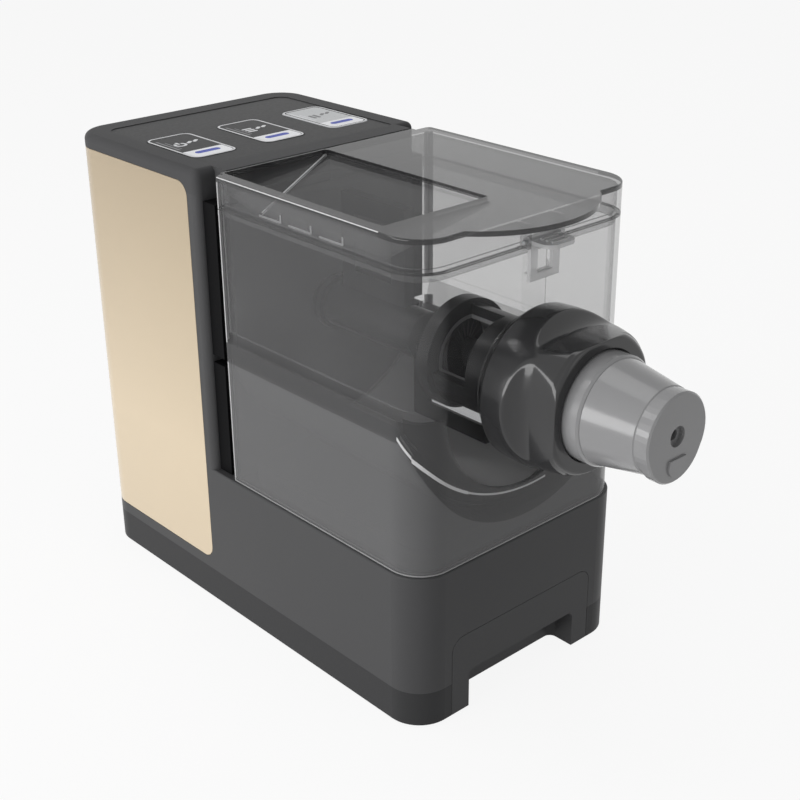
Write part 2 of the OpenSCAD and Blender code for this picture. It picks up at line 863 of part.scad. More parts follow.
module power_inlet() {
    y1 = rear_y - rear_t;
    color("#1c1c1c") difference() {
        union() {
            inlet_block(-inlet_flange, y1 - 2, y1);
            inlet_block(0, y1 - inlet_depth - 4, y1 - 1);
            inlet_block(inlet_rim + fit, y1 - 1, rear_y);
        }
        inlet_block(2 * inlet_rim, y1 - inlet_depth, rear_y + 1);
    }
    color("silver") for (i = [-1 : 1]) {
        z = inlet_z + (i == 0 ? 1 : -3);
        block(i * 7 - 1, i * 7 + 1, y1 - inlet_depth - 1, rear_y - 4, z, z + 4);
    }
}

module cover_screws() {
    color("silver") for (p = rear_screws()) {
        along(rear_y - case_wall - 6, rear_y - 1, screw_d / 2, p[1], p[0]);
        along(rear_y - 1.4, rear_y, screw_d * 0.8, p[1], p[0]);
    }
}

// Two black rails on each side of the neck, which the hopper's rear wall slides between
module hopper_hooks() {
    color("#1c1c1c") for (s = [-1, 1], z = [[base_h + fit, side_hook_z - side_hook_gap], [side_hook_z, seam_z - 4]]) {
        x = s * (neck_w / 2 + side_hook_t / 2);
        t = side_hook_t / 2;
        block(x - t, x + t, neck_front + 1, tower_front, z[0], z[1]);
    }
}

module control_board() {
    color("#1f5a34") difference() {
        union() {
            block(-control_w / 2, control_w / 2, control_y0, control_y1, board_z1 - board_t, board_z1);
            for (i = [-1 : 1]) {
                translate([i * key_pitch - switch_w / 2, (key_y0 + key_y1 - switch_w) / 2, board_z1 - 0.5]) {
                    cube([switch_w, switch_w, switch_h + 0.5]);
                }
            }
            block(-18, 18, control_y1 - 26, control_y1 - 12, board_z1 - 1, board_z1 + 3);
        }
        for (x = [-1, 1], y = board_post_ys()) {
            post(x * board_post_x(), y, board_z1 - board_t - 1, board_z1 + 1, 1.2);
        }
    }
}

module power_board() {
    x = power_board_w / 2;
    l = power_board_l;
    z0 = ground_gap + tray_floor + board_stand;
    z1 = z0 + board_t;
    y0 = bay_y1 + case_wall + 4;
    color("#1f5a34") block(-x, x, y0, y0 + l, z0, z1);
    color("#303030") {
        block(-0.83 * x, -0.28 * x, y0 + 0.14 * l, y0 + 0.81 * l, z1, z1 + choke_h);
        post(0, y0 + 0.33 * l, z1, z1 + capacitor_h, capacitor_r);
        post(0.38 * x, y0 + 0.33 * l, z1, z1 + 0.83 * capacitor_h, 0.75 * capacitor_r);
        block(0.59 * x, 0.9 * x, y0 + 0.19 * l, y0 + 0.71 * l, z1, z1 + relay_h);
    }
    color("#303030") for (s = [-1, 1], y = [y0 + screw_d + 1, y0 + l - screw_d - 1]) {
        post(s * (x - screw_d - 1), y, ground_gap + tray_floor, z0, screw_d);
    }
}

module gear_motor() {
    color("#9a9c9e") difference() {
        union() {
            along(motor_y0, motor_y0 + 22, motor_r, motor_z);
            along(motor_y0 + 22, motor_y1 - 6, motor_r - 3, motor_z);
            along(motor_y1 - 6, motor_y1, motor_r, motor_z);
        }
        along(motor_y0 - 1, motor_y1 + 1, motor_shaft_r + run, motor_z);
    }
}

module gear_plate() {
    color("#b4b6b8") difference() {
        union() {
            block(-plate_x(), plate_x(), plate_y0, plate_y1, standoff_z[0] - plate_rim, standoff_z[1] + plate_rim);
            along(plate_y0, plate_y0 + bearing_w + 2, boss_r);
        }
        along(plate_y0 - 1, plate_y0 + 3, shaft_r + 1);
        along(plate_y0 + 2, plate_y0 + bearing_w + 3, bearing_r);
        along(plate_y0 - 1, plate_y1 + 1, motor_shaft_r + 1, motor_z);
        for (x = [-1, 1], z = standoff_z) {
            along(plate_y0 - 1, plate_y1 + 1, screw_d / 2, z, x * standoff_x);
        }
    }
}

// Half width of the gear plate
function plate_x() = standoff_x + plate_rim;

module plate_screws() {
    color("silver") for (x = [-1, 1], z = standoff_z) {
        along(plate_y0 - screw_bite, plate_y1, screw_d / 2, z, x * standoff_x);
        along(plate_y1, plate_y1 + screw_d * 0.7, screw_d, z, x * standoff_x);
    }
}

// Shaft bearing with its two rings and a shielded middle
module shaft_bearing(y0) {
    difference() {
        along(y0, y0 + bearing_w, bearing_r);
        along(y0 - 1, y0 + bearing_w + 1, shaft_r + run);
        for (y = [y0 - 1, y0 + bearing_w - 0.8]) {
            ring_along(y, y + 1.8, bearing_r - 2.5, shaft_r + 2.5);
        }
    }
}

module front_bearing() color("#c8cacc") shaft_bearing(bearing_y0);
module rear_bearing() color("#c8cacc") shaft_bearing(plate_y0 + 2);

module shaft_seal() {
    color("#262626") difference() {
        union() {
            along(chamber_y1, hopper_rear, seal_r);
            along(hopper_rear, hopper_rear + 1.5, seal_r + 2);
        }
        along(chamber_y1 - 1, hopper_rear + 3, shaft_r + run);
    }
}

module drive_shaft() {
    color("#c0c2c4") {
        along(hub_y1, shaft_y1, shaft_r);
        square_key(square_w / 2, shaft_y0, hub_y1 + 0.5);
    }
}

// Point on an involute of base radius b at unwinding angle a
function involute(b, a) = [b * (cos(a) + a * PI / 180 * sin(a)), b * (sin(a) - a * PI / 180 * cos(a))];

// Spur gear outline with n teeth, thinned by the backlash, its first tooth on +X turned by phase
module gear_outline(n, phase) {
    pitch = gear_module * n / 2;
    base = pitch * cos(20);
    tip = pitch + gear_module * 0.94;
    root = pitch - gear_module * 1.25;
    tip_a = sqrt(pow(tip / base, 2) - 1) * 180 / PI;
    pitch_a = sqrt(pow(pitch / base, 2) - 1) * 180 / PI;
    pitch_p = involute(base, pitch_a);
    half = 90 / n - backlash / 2 / pitch * 180 / PI + atan2(pitch_p[1], pitch_p[0]);
    flank = [for (k = [0 : 4]) involute(base, tip_a * k / 4)];
    side = [for (p = flank) [p[0] * cos(half) + p[1] * sin(half), p[1] * cos(half) - p[0] * sin(half)]];
    circle(root);
    for (i = [0 : n - 1]) {
        rotate(phase + i * 360 / n) polygon(concat(
            [[root - 1, -root * sin(half) * 0.8]], side,
            [for (k = [4 : -1 : 0]) [side[k][0], -side[k][1]]], [[root - 1, root * sin(half) * 0.8]]
        ));
    }
}

// Gear outline raised to a disc along Y
module gear_disc(n, phase, z, bore) {
    translate([0, gear_y1, z]) rotate([90, 0, 0]) linear_extrude(gear_w) difference() {
        gear_outline(n, phase);
        circle(bore);
    }
}

module drive_gear() {
    color("#e4e2da") difference() {
        gear_disc(gear_teeth, -90, axis_z, shaft_r);
        for (y = [gear_y0 - 1, gear_y1 - 3]) {
            ring_along(y, y + 4, gear_pitch_r - 6, shaft_r + 8);
        }
    }
}

module motor_pinion() {
    color("#c9a34a") gear_disc(pinion_teeth, 90 + 180 / pinion_teeth, motor_z, motor_shaft_r);
}

module motor_shaft() {
    color("#c0c2c4") along(gear_y0 - 2, fan_y0 + fan_w, motor_shaft_r, motor_z);
}

module cooling_fan() {
    color("#303030") {
        ring_along(fan_y0, fan_y0 + fan_w, fan_hub_r, motor_shaft_r, motor_z);
        for (i = [0 : fan_blades - 1]) {
            translate([0, fan_y0 + fan_w / 2, motor_z]) rotate([0, i * 360 / fan_blades, 0]) {
                rotate([32, 0, 0]) translate([fan_hub_r - 2, -0.8, -5]) cube([fan_r - fan_hub_r + 2, 1.6, 10]);
            }
        }
    }
}

module hopper() {
    color("#b9bdc0", 0.4) difference() {
        union() {
            difference() {
                hopper_prism(base_h, rim_z, 0);
                hopper_prism(base_h - 1, rim_z + 1, clear_wall);
            }
            trough();
            along(front_y, front_y + clear_wall + 1.4, hole_wall_r + 4);
            catch_lug();
            catch_pad();
        }
        along(front_y - 1, front_y + clear_wall + 3, hole_wall_r);
        along(chamber_y1 - 1, hopper_rear + 1, seal_r);
    }
}

// Lower half of the kneading chamber, closed by the hopper's own walls
module trough() {
    intersection() {
        union() {
            difference() {
                along(front_y, hopper_rear, trough_out);
                along(front_y - 1, hopper_rear + 1, trough_r);
                block(-body_w, body_w, front_y - 1, hopper_rear + 1, axis_z, body_h);
            }
            front_fillet();
        }
        hopper_prism(base_h, body_h, clear_wall / 2);
    }
}

// Fillet that leads the trough round into the front wall
module front_fillet() {
    f = trough_fillet;
    translate([0, chamber_y0 - fit, axis_z]) rotate([-90, 0, 0]) rotate_extrude(angle = 180) {
        difference() {
            translate([trough_r - f, 0]) square([f + clear_wall / 2, f + fit]);
            translate([trough_r - f, f + fit]) circle(f);
        }
    }
}

// Shallow pad on the hopper's front between the rim and the tube, behind the latch
module catch_pad() {
    x = catch_w + 0.5;
    block(-x, x, front_y - pad_t, front_y + 0.5, axis_z + flange_r + fit, rim_z - 0.5);
}

// Lug on the hopper's front that the latch hooks under
module catch_lug() {
    z = hook_z + latch_t + 0.6;
    translate([-catch_w, front_y + 0.5, z]) rotate([90, 0, 90]) linear_extrude(2 * catch_w) {
        polygon([[0, 0], [-catch_d, 0], [-catch_d - 0.5, 0.5], [-catch_d - 0.5, 1.5], [0, catch_h + 2]]);
    }
}

module extrusion_tube() {
    color("#222222") difference() {
        union() {
            along(spigot_end, tube_end, tube_r);
            along(spigot_end, front_y + clear_wall, spigot_r);
            along(front_y - flange_t, front_y, flange_r);
            along(tube_end - ring_l, tube_end, ring_r);
            bayonet_lugs(lug_h, lug_t, lug_angle, 0);
        }
        along(spigot_end - 1, tube_end + 1, tube_bore_r);
        feed_window();
    }
}

// Opening in the top left of the tube that lets the dough reach the auger
module feed_window() {
    block(-tube_r - 5, 2, window_y0, window_y1, axis_z - 4, axis_z + tube_r + 5);
}

// Lugs round the spigot, h high, t thick and a degrees wide, turned by turn
module bayonet_lugs(h, t, a, turn) {
    for (i = [0 : lug_count - 1]) {
        start = i * 360 / lug_count - a / 2 + turn;
        translate([0, lug_y - t / 2, axis_z]) rotate([-90, 0, 0]) rotate([0, 0, start]) {
            rotate_extrude(angle = a) translate([spigot_r - 0.5, 0]) square([h + 0.5, t]);
        }
    }
}

module tube_bush() {
    color("#8c8c8c") difference() {
        ring_along(spigot_end + 4, tube_end - 1, tube_bore_r, tube_bore_r - bush_t);
        feed_window();
    }
}

// Square bar along Y on the drive axis, s from its middle to a side
module square_key(s, y0, y1) {
    block(-s, s, y0, y1, axis_z - s, axis_z + s);
}

module mixing_shaft() {
    color("#262626") difference() {
        union() {
            along(hub_y0, hub_y0 + 8, auger_core_r);
            cone_along(hub_y0 + 2, hub_y0 + 8, auger_core_r, hub_r);
            along(hub_y0 + 8, hub_y1, hub_r);
            ring_along(hub_y1 - 6, hub_y1, hub_r + 3, square_w);
            square_key(key_stub / 2, hub_y0 - key_stub_l, hub_y0 + 1);
        }
        square_key(square_w / 2 + fit / 2, shaft_y0 - 1, hub_y1 + 1);
    }
}

module auger() {
    l = auger_y1 - auger_y0 - 6;
    turns = l / auger_pitch;
    color("#3a3a3a") difference() {
        union() {
            along(auger_y0, auger_y1, auger_core_r);
            cone_along(auger_y0 - 8, auger_y0, 3, auger_core_r);
            translate([0, auger_y0 + 2, axis_z]) rotate([-90, 0, 0]) {
                linear_extrude(l, twist = -360 * turns, slices = round(turns * 20), $fn = 1) {
                    flight();
                }
            }
        }
        square_key(key_stub / 2 + fit / 2, hub_y0 - key_stub_l - 1, auger_y1 + 1);
    }
}

// Cross-section of the auger's flight
module flight() {
    a = flight_t / auger_pitch * 180;
    polygon(concat(
        [for (k = [-1 : 1]) (auger_core_r - 1) * [cos(k * a * 1.5), sin(k * a * 1.5)]],
        [for (k = [2 : -1 : -2]) auger_r * [cos(k * a / 2), sin(k * a / 2)]]
    ));
}

module front_blade() {
    x = blade_t / 2;
    color("#242424") {
        difference() {
            block(-x, x, arm_y0, arm_y1, axis_z - blade_r1, axis_z);
            along(arm_y0 - 1, arm_y1 + 1, hub_r);
            block(-bar_t / 2, bar_t / 2, arm_y0 - 1, arm_y1 - 2, axis_z - bar_r1, axis_z - bar_r0);
        }
        block(-x, x, bar_y0 + 2, arm_y0, axis_z - blade_r1, axis_z - bar_r1);
    }
}

module scraper_bar() {
    color("#d4d6d8") block(-bar_t / 2, bar_t / 2, bar_y0, arm_y1 - 2, axis_z - bar_r1, axis_z - bar_r0);
}

module rear_paddle() {
    x = blade_t / 2;
    color("#242424") difference() {
        block(-x, x, rear_arm_y0, rear_arm_y1, axis_z, axis_z + paddle_r);
        along(rear_arm_y0 - 1, rear_arm_y1 + 1, hub_r);
        block(-x - 1, x + 1, rear_arm_y0 + 12, rear_arm_y1 - 12, axis_z + hub_r + 12, axis_z + paddle_r - 12);
    }
}

module lid() {
    color("#b9bdc0", 0.4) difference() {
        union() {
            difference() {
                soft_prism(hopper_w, front_y, hopper_rear, rim_z, body_h, corner_r, hopper_rear_r, lid_edge_r);
                hopper_prism(rim_z - 1, body_h - lid_t, clear_wall);
            }
            front_lip();
            rear_tongue();
            seat_ring(rim_z - seat_h, rim_z + 1, fit);
            seat_ring(rim_z + fit, rim_z + ring_rise, -0.5);
            for (s = [-1, 1]) {
                x = s * (ear_x + ear_t / 2);
                block(x - ear_t / 2, x + ear_t / 2, pin_y - 3.5, front_y + 1, pin_z - 3, body_h - lid_t + 1);
            }
        }
        pour_box(-fit, rim_z - 1, pour_z1);
        pour_box(pour_wall, pour_z1 - 1, body_h + 1);
        crosswise(ear_x + ear_t + 1, pin_r);
    }
}

// Upright prism over the pouring recess, w inside its outline
module pour_box(w, z0, z1) {
    translate([(pour_x0 + pour_x1) / 2, 0, 0]) inner_prism(pour_w, pour_y0, pour_y1, z0, z1, pour_corner, w);
}

// Cylinder along X on the latch's axis, reaching x to both sides
module crosswise(x, r) {
    translate([-x, pin_y, pin_z]) rotate([0, 90, 0]) cylinder(r = r, h = 2 * x, $fn = 48);
}

// Tongue of the lid's plate that covers the gap between the hopper and the neck
module rear_tongue() {
    block(pour_x0, neck_w / 2, hopper_rear - hopper_rear_r, pour_y1, body_h - lid_t, body_h);
}

// Front lip that bulges out of the lid as a segment of a disc
module front_lip() {
    intersection() {
        translate([0, front_y - lip_d + lip_r, body_h - lid_t]) cylinder(r = lip_r, h = lid_t, $fn = 180);
        block(-lip_w, lip_w, front_y - lip_d - 1, front_y + lid_edge_r + 1, body_h - lid_t - 1, body_h + 1);
    }
}

// Ring that locates the lid inside the hopper's rim, gap away from its wall
module seat_ring(z0, z1, gap) {
    difference() {
        hopper_prism(z0, z1, clear_wall + gap);
        hopper_prism(z0 - 1, z1 + 1, clear_wall + fit + seat_t);
    }
}

// Recess whose floor falls to the slots in its left wall, with a facet behind its crease
module pour_tray() {
    w = pour_wall;
    right = [pour_x1, pour_y1, pour_z1];
    left = [pour_x0, pour_crease_y, pour_floor];
    front = [pour_x1, pour_y0, pour_z1];
    rear = [pour_x0, pour_y1, pour_floor + pour_facet_rise];
    color("#b9bdc0", 0.4) difference() {
        pour_box(0, pour_z0, pour_z1);
        intersection() {
            pour_box(w, pour_z0 - 1, pour_z1 + 1);
            slab_on(right, left, front, 0, body_h);
            slab_on(right, left, rear, 0, body_h);
        }
        slab_on(right, left, front, -body_h, -w);
        slab_on(right, left, rear, -body_h, -w);
        for (i = [-1 : 1]) {
            y = slot_mid + i * slot_pitch;
            block(pour_x0 - 1, pour_x0 + w + 1, y - slot_l / 2, y + slot_l / 2, pour_floor, pour_floor + slot_h);
        }
    }
}

module latch_pin() {
    color("#c0c2c4") crosswise(ear_x + ear_t, pin_r);
}

module lid_latch() {
    w = latch_w / 2;
    color("#c6cacd", 0.5) difference() {
        union() {
            crosswise(w, pin_r + 1.8);
            tab_plate(w);
            block(-w, w, pin_y - 3, pin_y - 3 + latch_t, hook_z, pin_z);
            block(-catch_w, catch_w, pin_y - 3, front_y - catch_d - fit, hook_z, hook_z + latch_t);
            for (i = [0 : 2]) {
                y = pin_y - latch_tab + 3 + i * 4;
                block(-w + 5, w - 5, y, y + 1.4, pin_z, pin_z + 2.2);
            }
        }
        crosswise(w + 1, pin_r + run);
        block(-catch_w + 3, catch_w - 3, pin_y - 4, pin_y, hook_z + latch_t + 2, pin_z - 4);
    }
}

// Finger tab of the latch with a round front
module tab_plate(w) {
    difference() {
        prism(2 * w, pin_y - latch_tab, pin_y, pin_z - 1, pin_z + 1.2, 7, 0);
        block(-w - 1, w + 1, pin_y - 1, pin_y + 1, pin_z - 2, pin_z - 1);
    }
}

module nozzle_seal() {
    color("#5a5a5a") ring_along(spigot_end - seal_t, spigot_end, cup_r, tube_bore_r + 2);
}

// Turns a profile of radius and distance forward of y into a body about the drive axis
module revolve_forward(y) {
    translate([0, y, axis_z]) rotate([90, 0, 0]) rotate([0, 0, 45]) rotate_extrude() children();
}

module nozzle() {
    step_s = cup_y1 - (nut_y0 - 10);
    end_s = cup_y1 - disc_y;
    w = nozzle_wall;
    color("#8e8e8e") revolve_forward(cup_y1) polygon(concat(
        [[tube_bore_r, 0], [cup_r, 0], [cup_r, cup_t], [collar_r, cup_t], [collar_r, step_s - 1]],
        [[collar_r - 1, step_s + 0.4], [collar_r - 1.5, step_s + 0.6]],
        [[nozzle_end_r + 0.3, end_s - 0.6], [nozzle_end_r - 0.2, end_s]],
        [[nozzle_end_r - w, end_s], [collar_r - 2 - w, step_s], [tube_bore_r, cup_t + 4]]
    ));
}

module nozzle_end_disc() {
    r = nozzle_end_r - 0.2;
    color("#8a8a8a") difference() {
        union() {
            hull() {
                along(face_y + 1, disc_y, r, $fn = 48);
                along(face_y, disc_y, r - 1, $fn = 48);
                translate([0, 0, -disc_drop]) along(face_y + 1, disc_y - 3, r - 2, $fn = 48);
                translate([0, 0, -disc_drop]) along(face_y, disc_y - 3, r - 3, $fn = 48);
            }
            lug_boss();
        }
        along(nozzle_end - 1, face_y + 3, outlet_recess_r);
        along(nozzle_end - 1, disc_y + 1, outlet_r);
    }
}

// Raised D-shaped lug under the outlet
module lug_boss() {
    intersection() {
        translate([1, nozzle_end, axis_z - 16]) rotate([-90, 0, 0]) cylinder(r = 7.4, h = 3);
        block(-7, 9, nozzle_end - 1, face_y + 2, axis_z - 24, axis_z - 12.5);
    }
}

// Arc of points about a centre, from angle a0 to a1 in n steps
function arc(c, r, a0, a1, n) = [
    for (k = [0 : n]) c + r * [cos(a0 + (a1 - a0) * k / n), sin(a0 + (a1 - a0) * k / n)]
];

module locking_nut() {
    bulge = 0.3 * nut_l;
    curve = pow(nut_l - bulge, 2) / (2 * (nut_r - nut_front_r));
    shoulder = nut_y1 - cup_y0 + fit;
    scallop_y = (nut_y0 + nut_y1) / 2 - 4;
    color("#363636") difference() {
        revolve_forward(nut_y1) polygon(concat(
            [[nut_bore_r, 0]],
            arc([nut_r - 3, 2], 2, -90, 0, 3),
            [for (s = [8 : 8 : nut_l - 6]) [nut_r - pow(s - bulge, 2) / (2 * curve), s]],
            arc([nut_front_r - 3.4, nut_l - 3.4], 3.4, 0, 90, 5),
            [[collar_r + 1.2, nut_l], [collar_r + fit, nut_l - 1]],
            [[collar_r + fit, shoulder], [nut_bore_r, shoulder]]
        ));
        ring_along(lug_y - lug_t / 2 - 1, lug_y + lug_t / 2 + 1, spigot_r + lug_h + fit, spigot_r);
        for (i = [0 : lug_count - 1]) {
            rotate_about_axis(i * 360 / lug_count + nut_turn) {
                translate([0, lug_y, axis_z]) rotate([-90, 0, 0]) rotate([0, 0, -lug_angle / 2 - 2]) {
                    rotate_extrude(angle = lug_angle + 4) translate([spigot_r - 0.5, 0]) {
                        square([lug_h + 0.5 + 2 * fit, nut_y1 - lug_y + 1]);
                    }
                }
            }
        }
        for (i = [0 : 3]) {
            rotate_about_axis(i * 90) translate([0, scallop_y, axis_z + scallop_r + scallop_curve]) {
                rotate([0, 90, 0]) cylinder(r = scallop_curve, h = 60, center = true);
            }
        }
    }
}

// Turns children about the drive axis
module rotate_about_axis(a) {
    translate([0, 0, axis_z]) rotate([0, a, 0]) translate([0, 0, -axis_z]) children();
}

module drawer_front() {
    w = drawer_wall;
    color("#484848") difference() {
        union() {
            front_arch(drawer_x, base_y, base_y + w + 0.5, drawer_z0, drawer_top, drawer_r);
            prism(notch_w + 2 * w, base_y + 1, tray_y0, drawer_z0, notch_top + w, 0, notch_r + w);
            for (s = [-1, 1]) {
                x = s * (drawer_x - 2 - w / 2);
                block(x - w / 2, x + w / 2, base_y + 1, tray_y0, notch_top, tray_top);
            }
        }
        intersection() {
            prism(notch_w, base_y - 1, base_y + notch_d, -1, notch_top, 0, notch_r);
            front_arch(notch_w / 2, base_y - 2, base_y + notch_d + 1, -2, notch_top, 4);
        }
    }
}

module drawer_tray() {
    w = drawer_wall;
    x = drawer_x - 2;
    color("#3e3e3e") {
        difference() {
            prism(2 * x, tray_y0, tray_y1, tray_z0, tray_top, 0, 4);
            prism(2 * (x - w), tray_y0 + w, tray_y1 - w, tray_z0 + w, tray_top + 1, 3, 3);
        }
        for (s = [-1, 1]) {
            rail = s * (x - 6);
            block(rail - 2, rail + 2, tray_y0, tray_y1, ground_gap + tray_floor + fit, tray_z0 + 0.5);
        }
    }
}

main_casing();
bottom_tray();
rubber_feet();
top_cover();
control_panel();
side_panel_left();
side_panel_right();
rear_cover();
power_inlet();
cover_screws();
tray_screws();
hopper_hooks();
control_board();
power_board();
gear_motor();
gear_plate();
plate_screws();
front_bearing();
rear_bearing();
shaft_seal();
drive_shaft();
drive_gear();
motor_shaft();
motor_pinion();
cooling_fan();
hopper();
extrusion_tube();
tube_bush();
mixing_shaft();
auger();
front_blade();
scraper_bar();
rear_paddle();
lid();
pour_tray();
latch_pin();
lid_latch();
nozzle_seal();
nozzle();
nozzle_end_disc();
locking_nut();
drawer_front();
drawer_tray();
power_key();
menu_key();
start_key();
power_light();
menu_light();
start_light();
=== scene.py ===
import math

import bmesh
import bpy
from mathutils import Matrix, Vector


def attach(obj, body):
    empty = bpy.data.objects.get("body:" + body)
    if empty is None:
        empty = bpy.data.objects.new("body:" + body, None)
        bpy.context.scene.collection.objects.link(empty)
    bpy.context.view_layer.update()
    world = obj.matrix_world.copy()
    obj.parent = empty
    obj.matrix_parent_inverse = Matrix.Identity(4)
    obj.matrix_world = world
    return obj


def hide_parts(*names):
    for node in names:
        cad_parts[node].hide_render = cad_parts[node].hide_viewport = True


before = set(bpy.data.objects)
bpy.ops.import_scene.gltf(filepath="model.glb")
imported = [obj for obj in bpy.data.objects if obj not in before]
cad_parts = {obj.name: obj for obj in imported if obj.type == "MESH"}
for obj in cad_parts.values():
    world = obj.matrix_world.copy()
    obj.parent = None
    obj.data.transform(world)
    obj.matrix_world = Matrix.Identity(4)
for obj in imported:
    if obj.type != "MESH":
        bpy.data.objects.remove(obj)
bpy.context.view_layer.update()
MM = 0.001

# Levels and radii in mm, as the part's source gives them
AXIS_Z = 202.5
BASE_H = 102
RIM_Z = 281
TROUGH_R = 81
TROUGH_OUT = 83.6


# ---------------------------------------------------------------- materials

# A noise texture keeps mostly between these two levels
NOISE_SPAN = {"From Min": 0.3, "From Max": 0.7}

# Scales per metre: drifts in a moulding about 110 mm long, and ripples in a clear wall about 70 mm long
FLOW_SCALE = 9.0
RIPPLE_SCALE = 14.0

# How far the roughness swings about its middle value
PLASTIC_SWING = 0.03
METAL_SWING = 0.06

# Sockets of the Mix node, whose names repeat for each kind of data
MIX_BY = 0
COLOUR_A, COLOUR_B, COLOUR_OUT = 6, 7, 2
VALUE_A, VALUE_B, VALUE_OUT = 2, 3, 0


def linear(code):
    """sRGB hex to a linear colour with alpha 1."""
    channels = [int(code[i:i + 2], 16) / 255 for i in (1, 3, 5)]
    return tuple(c / 12.92 if c <= 0.04045 else ((c + 0.055) / 1.055) ** 2.4 for c in channels) + (1.0,)


def add(tree, kind, settings=None, links=None):
    """Adds a node, sets its properties and inputs, and links its inputs to other nodes' outputs."""
    node = tree.nodes.new(kind)
    for name, value in (settings or {}).items():
        if isinstance(name, str) and hasattr(node, name) and name not in node.inputs:
            setattr(node, name, value)
        else:
            node.inputs[name].default_value = value
    for name, output in (links or {}).items():
        tree.links.new(output, node.inputs[name])
    return node


def new_material(name):
    """Empty node material and its tree, with Object coordinates ready for use."""
    mat = bpy.data.materials.new(name)
    mat.use_nodes = True
    mat.node_tree.nodes.clear()
    place = add(mat.node_tree, "ShaderNodeTexCoord").outputs["Object"]
    return mat, mat.node_tree, place


def finish_material(mat, tree, shader):
    """Sends the shader to the material's surface."""
    add(tree, "ShaderNodeOutputMaterial", links={"Surface": shader.outputs[0]})
    return mat


def moulded_plastic(name, colour, rough, grain_mm, grain_depth, drift,
                    gloss_level=0.3, coat=0.0, coat_rough=0.1, painted_top_shade=None):
    """Injection-moulded plastic: a spark-eroded grain in the tool leaves a fine satin texture,
    and long soft drifts of tone and gloss follow the flow of the melt. A painted top shade is a second
    colour for the top of the piece, painted shade where less light falls, with the two heights in mm
    between which it comes in."""
    mat, tree, place = new_material(name)
    grain = add(tree, "ShaderNodeTexNoise",
                {"Scale": 1 / (grain_mm * MM), "Detail": 3.0, "Roughness": 0.6}, {"Vector": place})
    flow = add(tree, "ShaderNodeTexNoise",
               {"Scale": FLOW_SCALE, "Detail": 2.0, "Roughness": 0.5}, {"Vector": place})
    tone = add(tree, "ShaderNodeMapRange",
               {**NOISE_SPAN, "To Min": 1 - drift, "To Max": 1 + drift}, {"Value": flow.outputs["Fac"]})
    tint = add(tree, "ShaderNodeMix",
               {"data_type": "RGBA", "blend_type": "MULTIPLY", MIX_BY: 1.0, COLOUR_A: linear(colour)},
               {COLOUR_B: tone.outputs["Result"]})
    # Painted shade: towards the top the colour turns into the second colour
    if painted_top_shade:
        shaded_top_colour, low, high = painted_top_shade
        height = add(tree, "ShaderNodeSeparateXYZ", links={"Vector": place})
        up = add(tree, "ShaderNodeMapRange",
                 {"From Min": low * MM, "From Max": high * MM}, {"Value": height.outputs["Z"]})
        base = add(tree, "ShaderNodeMix",
                   {"data_type": "RGBA", COLOUR_A: linear(colour), COLOUR_B: linear(shaded_top_colour)},
                   {MIX_BY: up.outputs["Result"]})
        tree.links.new(base.outputs[COLOUR_OUT], tint.inputs[COLOUR_A])
    gloss = add(tree, "ShaderNodeMapRange",
                {**NOISE_SPAN, "To Min": rough - PLASTIC_SWING, "To Max": rough + PLASTIC_SWING},
                {"Value": grain.outputs["Fac"]})
    bump = add(tree, "ShaderNodeBump",
               {"Strength": 0.35, "Distance": grain_depth * MM}, {"Height": grain.outputs["Fac"]})
    shader = add(tree, "ShaderNodeBsdfPrincipled",
                 {"IOR": 1.5, "Specular IOR Level": gloss_level,
                  "Coat Weight": coat, "Coat Roughness": coat_rough},
                 {"Base Color": tint.outputs[COLOUR_OUT], "Roughness": gloss.outputs["Result"],
                  "Normal": bump.outputs["Normal"]})
    return finish_material(mat, tree, shader)


def metal(name, colour, rough, line_mm, depth, stretch, glow=0.0):
    """Worked metal: lines along one direction from the brush, the lathe or the rolling mill, or with
    an even stretch the grain of a blasted or cast skin. A little glow is painted light: it stands for
    the light that a clear trough throws on to a bright piece inside it."""
    mat, tree, place = new_material(name)
    along = add(tree, "ShaderNodeMapping", {"Scale": stretch}, {"Vector": place})
    lines = add(tree, "ShaderNodeTexNoise",
                {"Scale": 1 / (line_mm * MM), "Detail": 2.0}, {"Vector": along.outputs["Vector"]})
    tone = add(tree, "ShaderNodeMapRange",
               {**NOISE_SPAN, "To Min": 0.9, "To Max": 1.06}, {"Value": lines.outputs["Fac"]})
    tint = add(tree, "ShaderNodeMix",
               {"data_type": "RGBA", "blend_type": "MULTIPLY", MIX_BY: 1.0, COLOUR_A: linear(colour)},
               {COLOUR_B: tone.outputs["Result"]})
    gloss = add(tree, "ShaderNodeMapRange",
                {**NOISE_SPAN, "To Min": rough - METAL_SWING, "To Max": rough + METAL_SWING},
                {"Value": lines.outputs["Fac"]})
    bump = add(tree, "ShaderNodeBump",
               {"Strength": 0.3, "Distance": depth * MM}, {"Height": lines.outputs["Fac"]})
    # Painted light: the glow makes the piece give off its own colour, though it is no lamp
    shader = add(tree, "ShaderNodeBsdfPrincipled", {"Metallic": 1.0, "Emission Strength": glow},
                 {"Base Color": tint.outputs[COLOUR_OUT], "Emission Color": tint.outputs[COLOUR_OUT],
                  "Roughness": gloss.outputs["Result"], "Normal": bump.outputs["Normal"]})
    return finish_material(mat, tree, shader)


# Middle in x and z of the circle that the painted highlight on the hopper's corner follows
HIGHLIGHT_ARC_X = 3.4
HIGHLIGHT_ARC_Z = 242.8

# Planes, each a direction and its distance in mm from the frame's origin: the straight end of that
# painted highlight on the side wall, and the painted highlight along the crease in the pouring tray's
# floor
HIGHLIGHT_END_NORMAL = (0, -0.789, 0.614)
HIGHLIGHT_END_AT = 190.1
CREASE_NORMAL = (-0.4148, 0.9099, 0)
CREASE_AT = 57.34


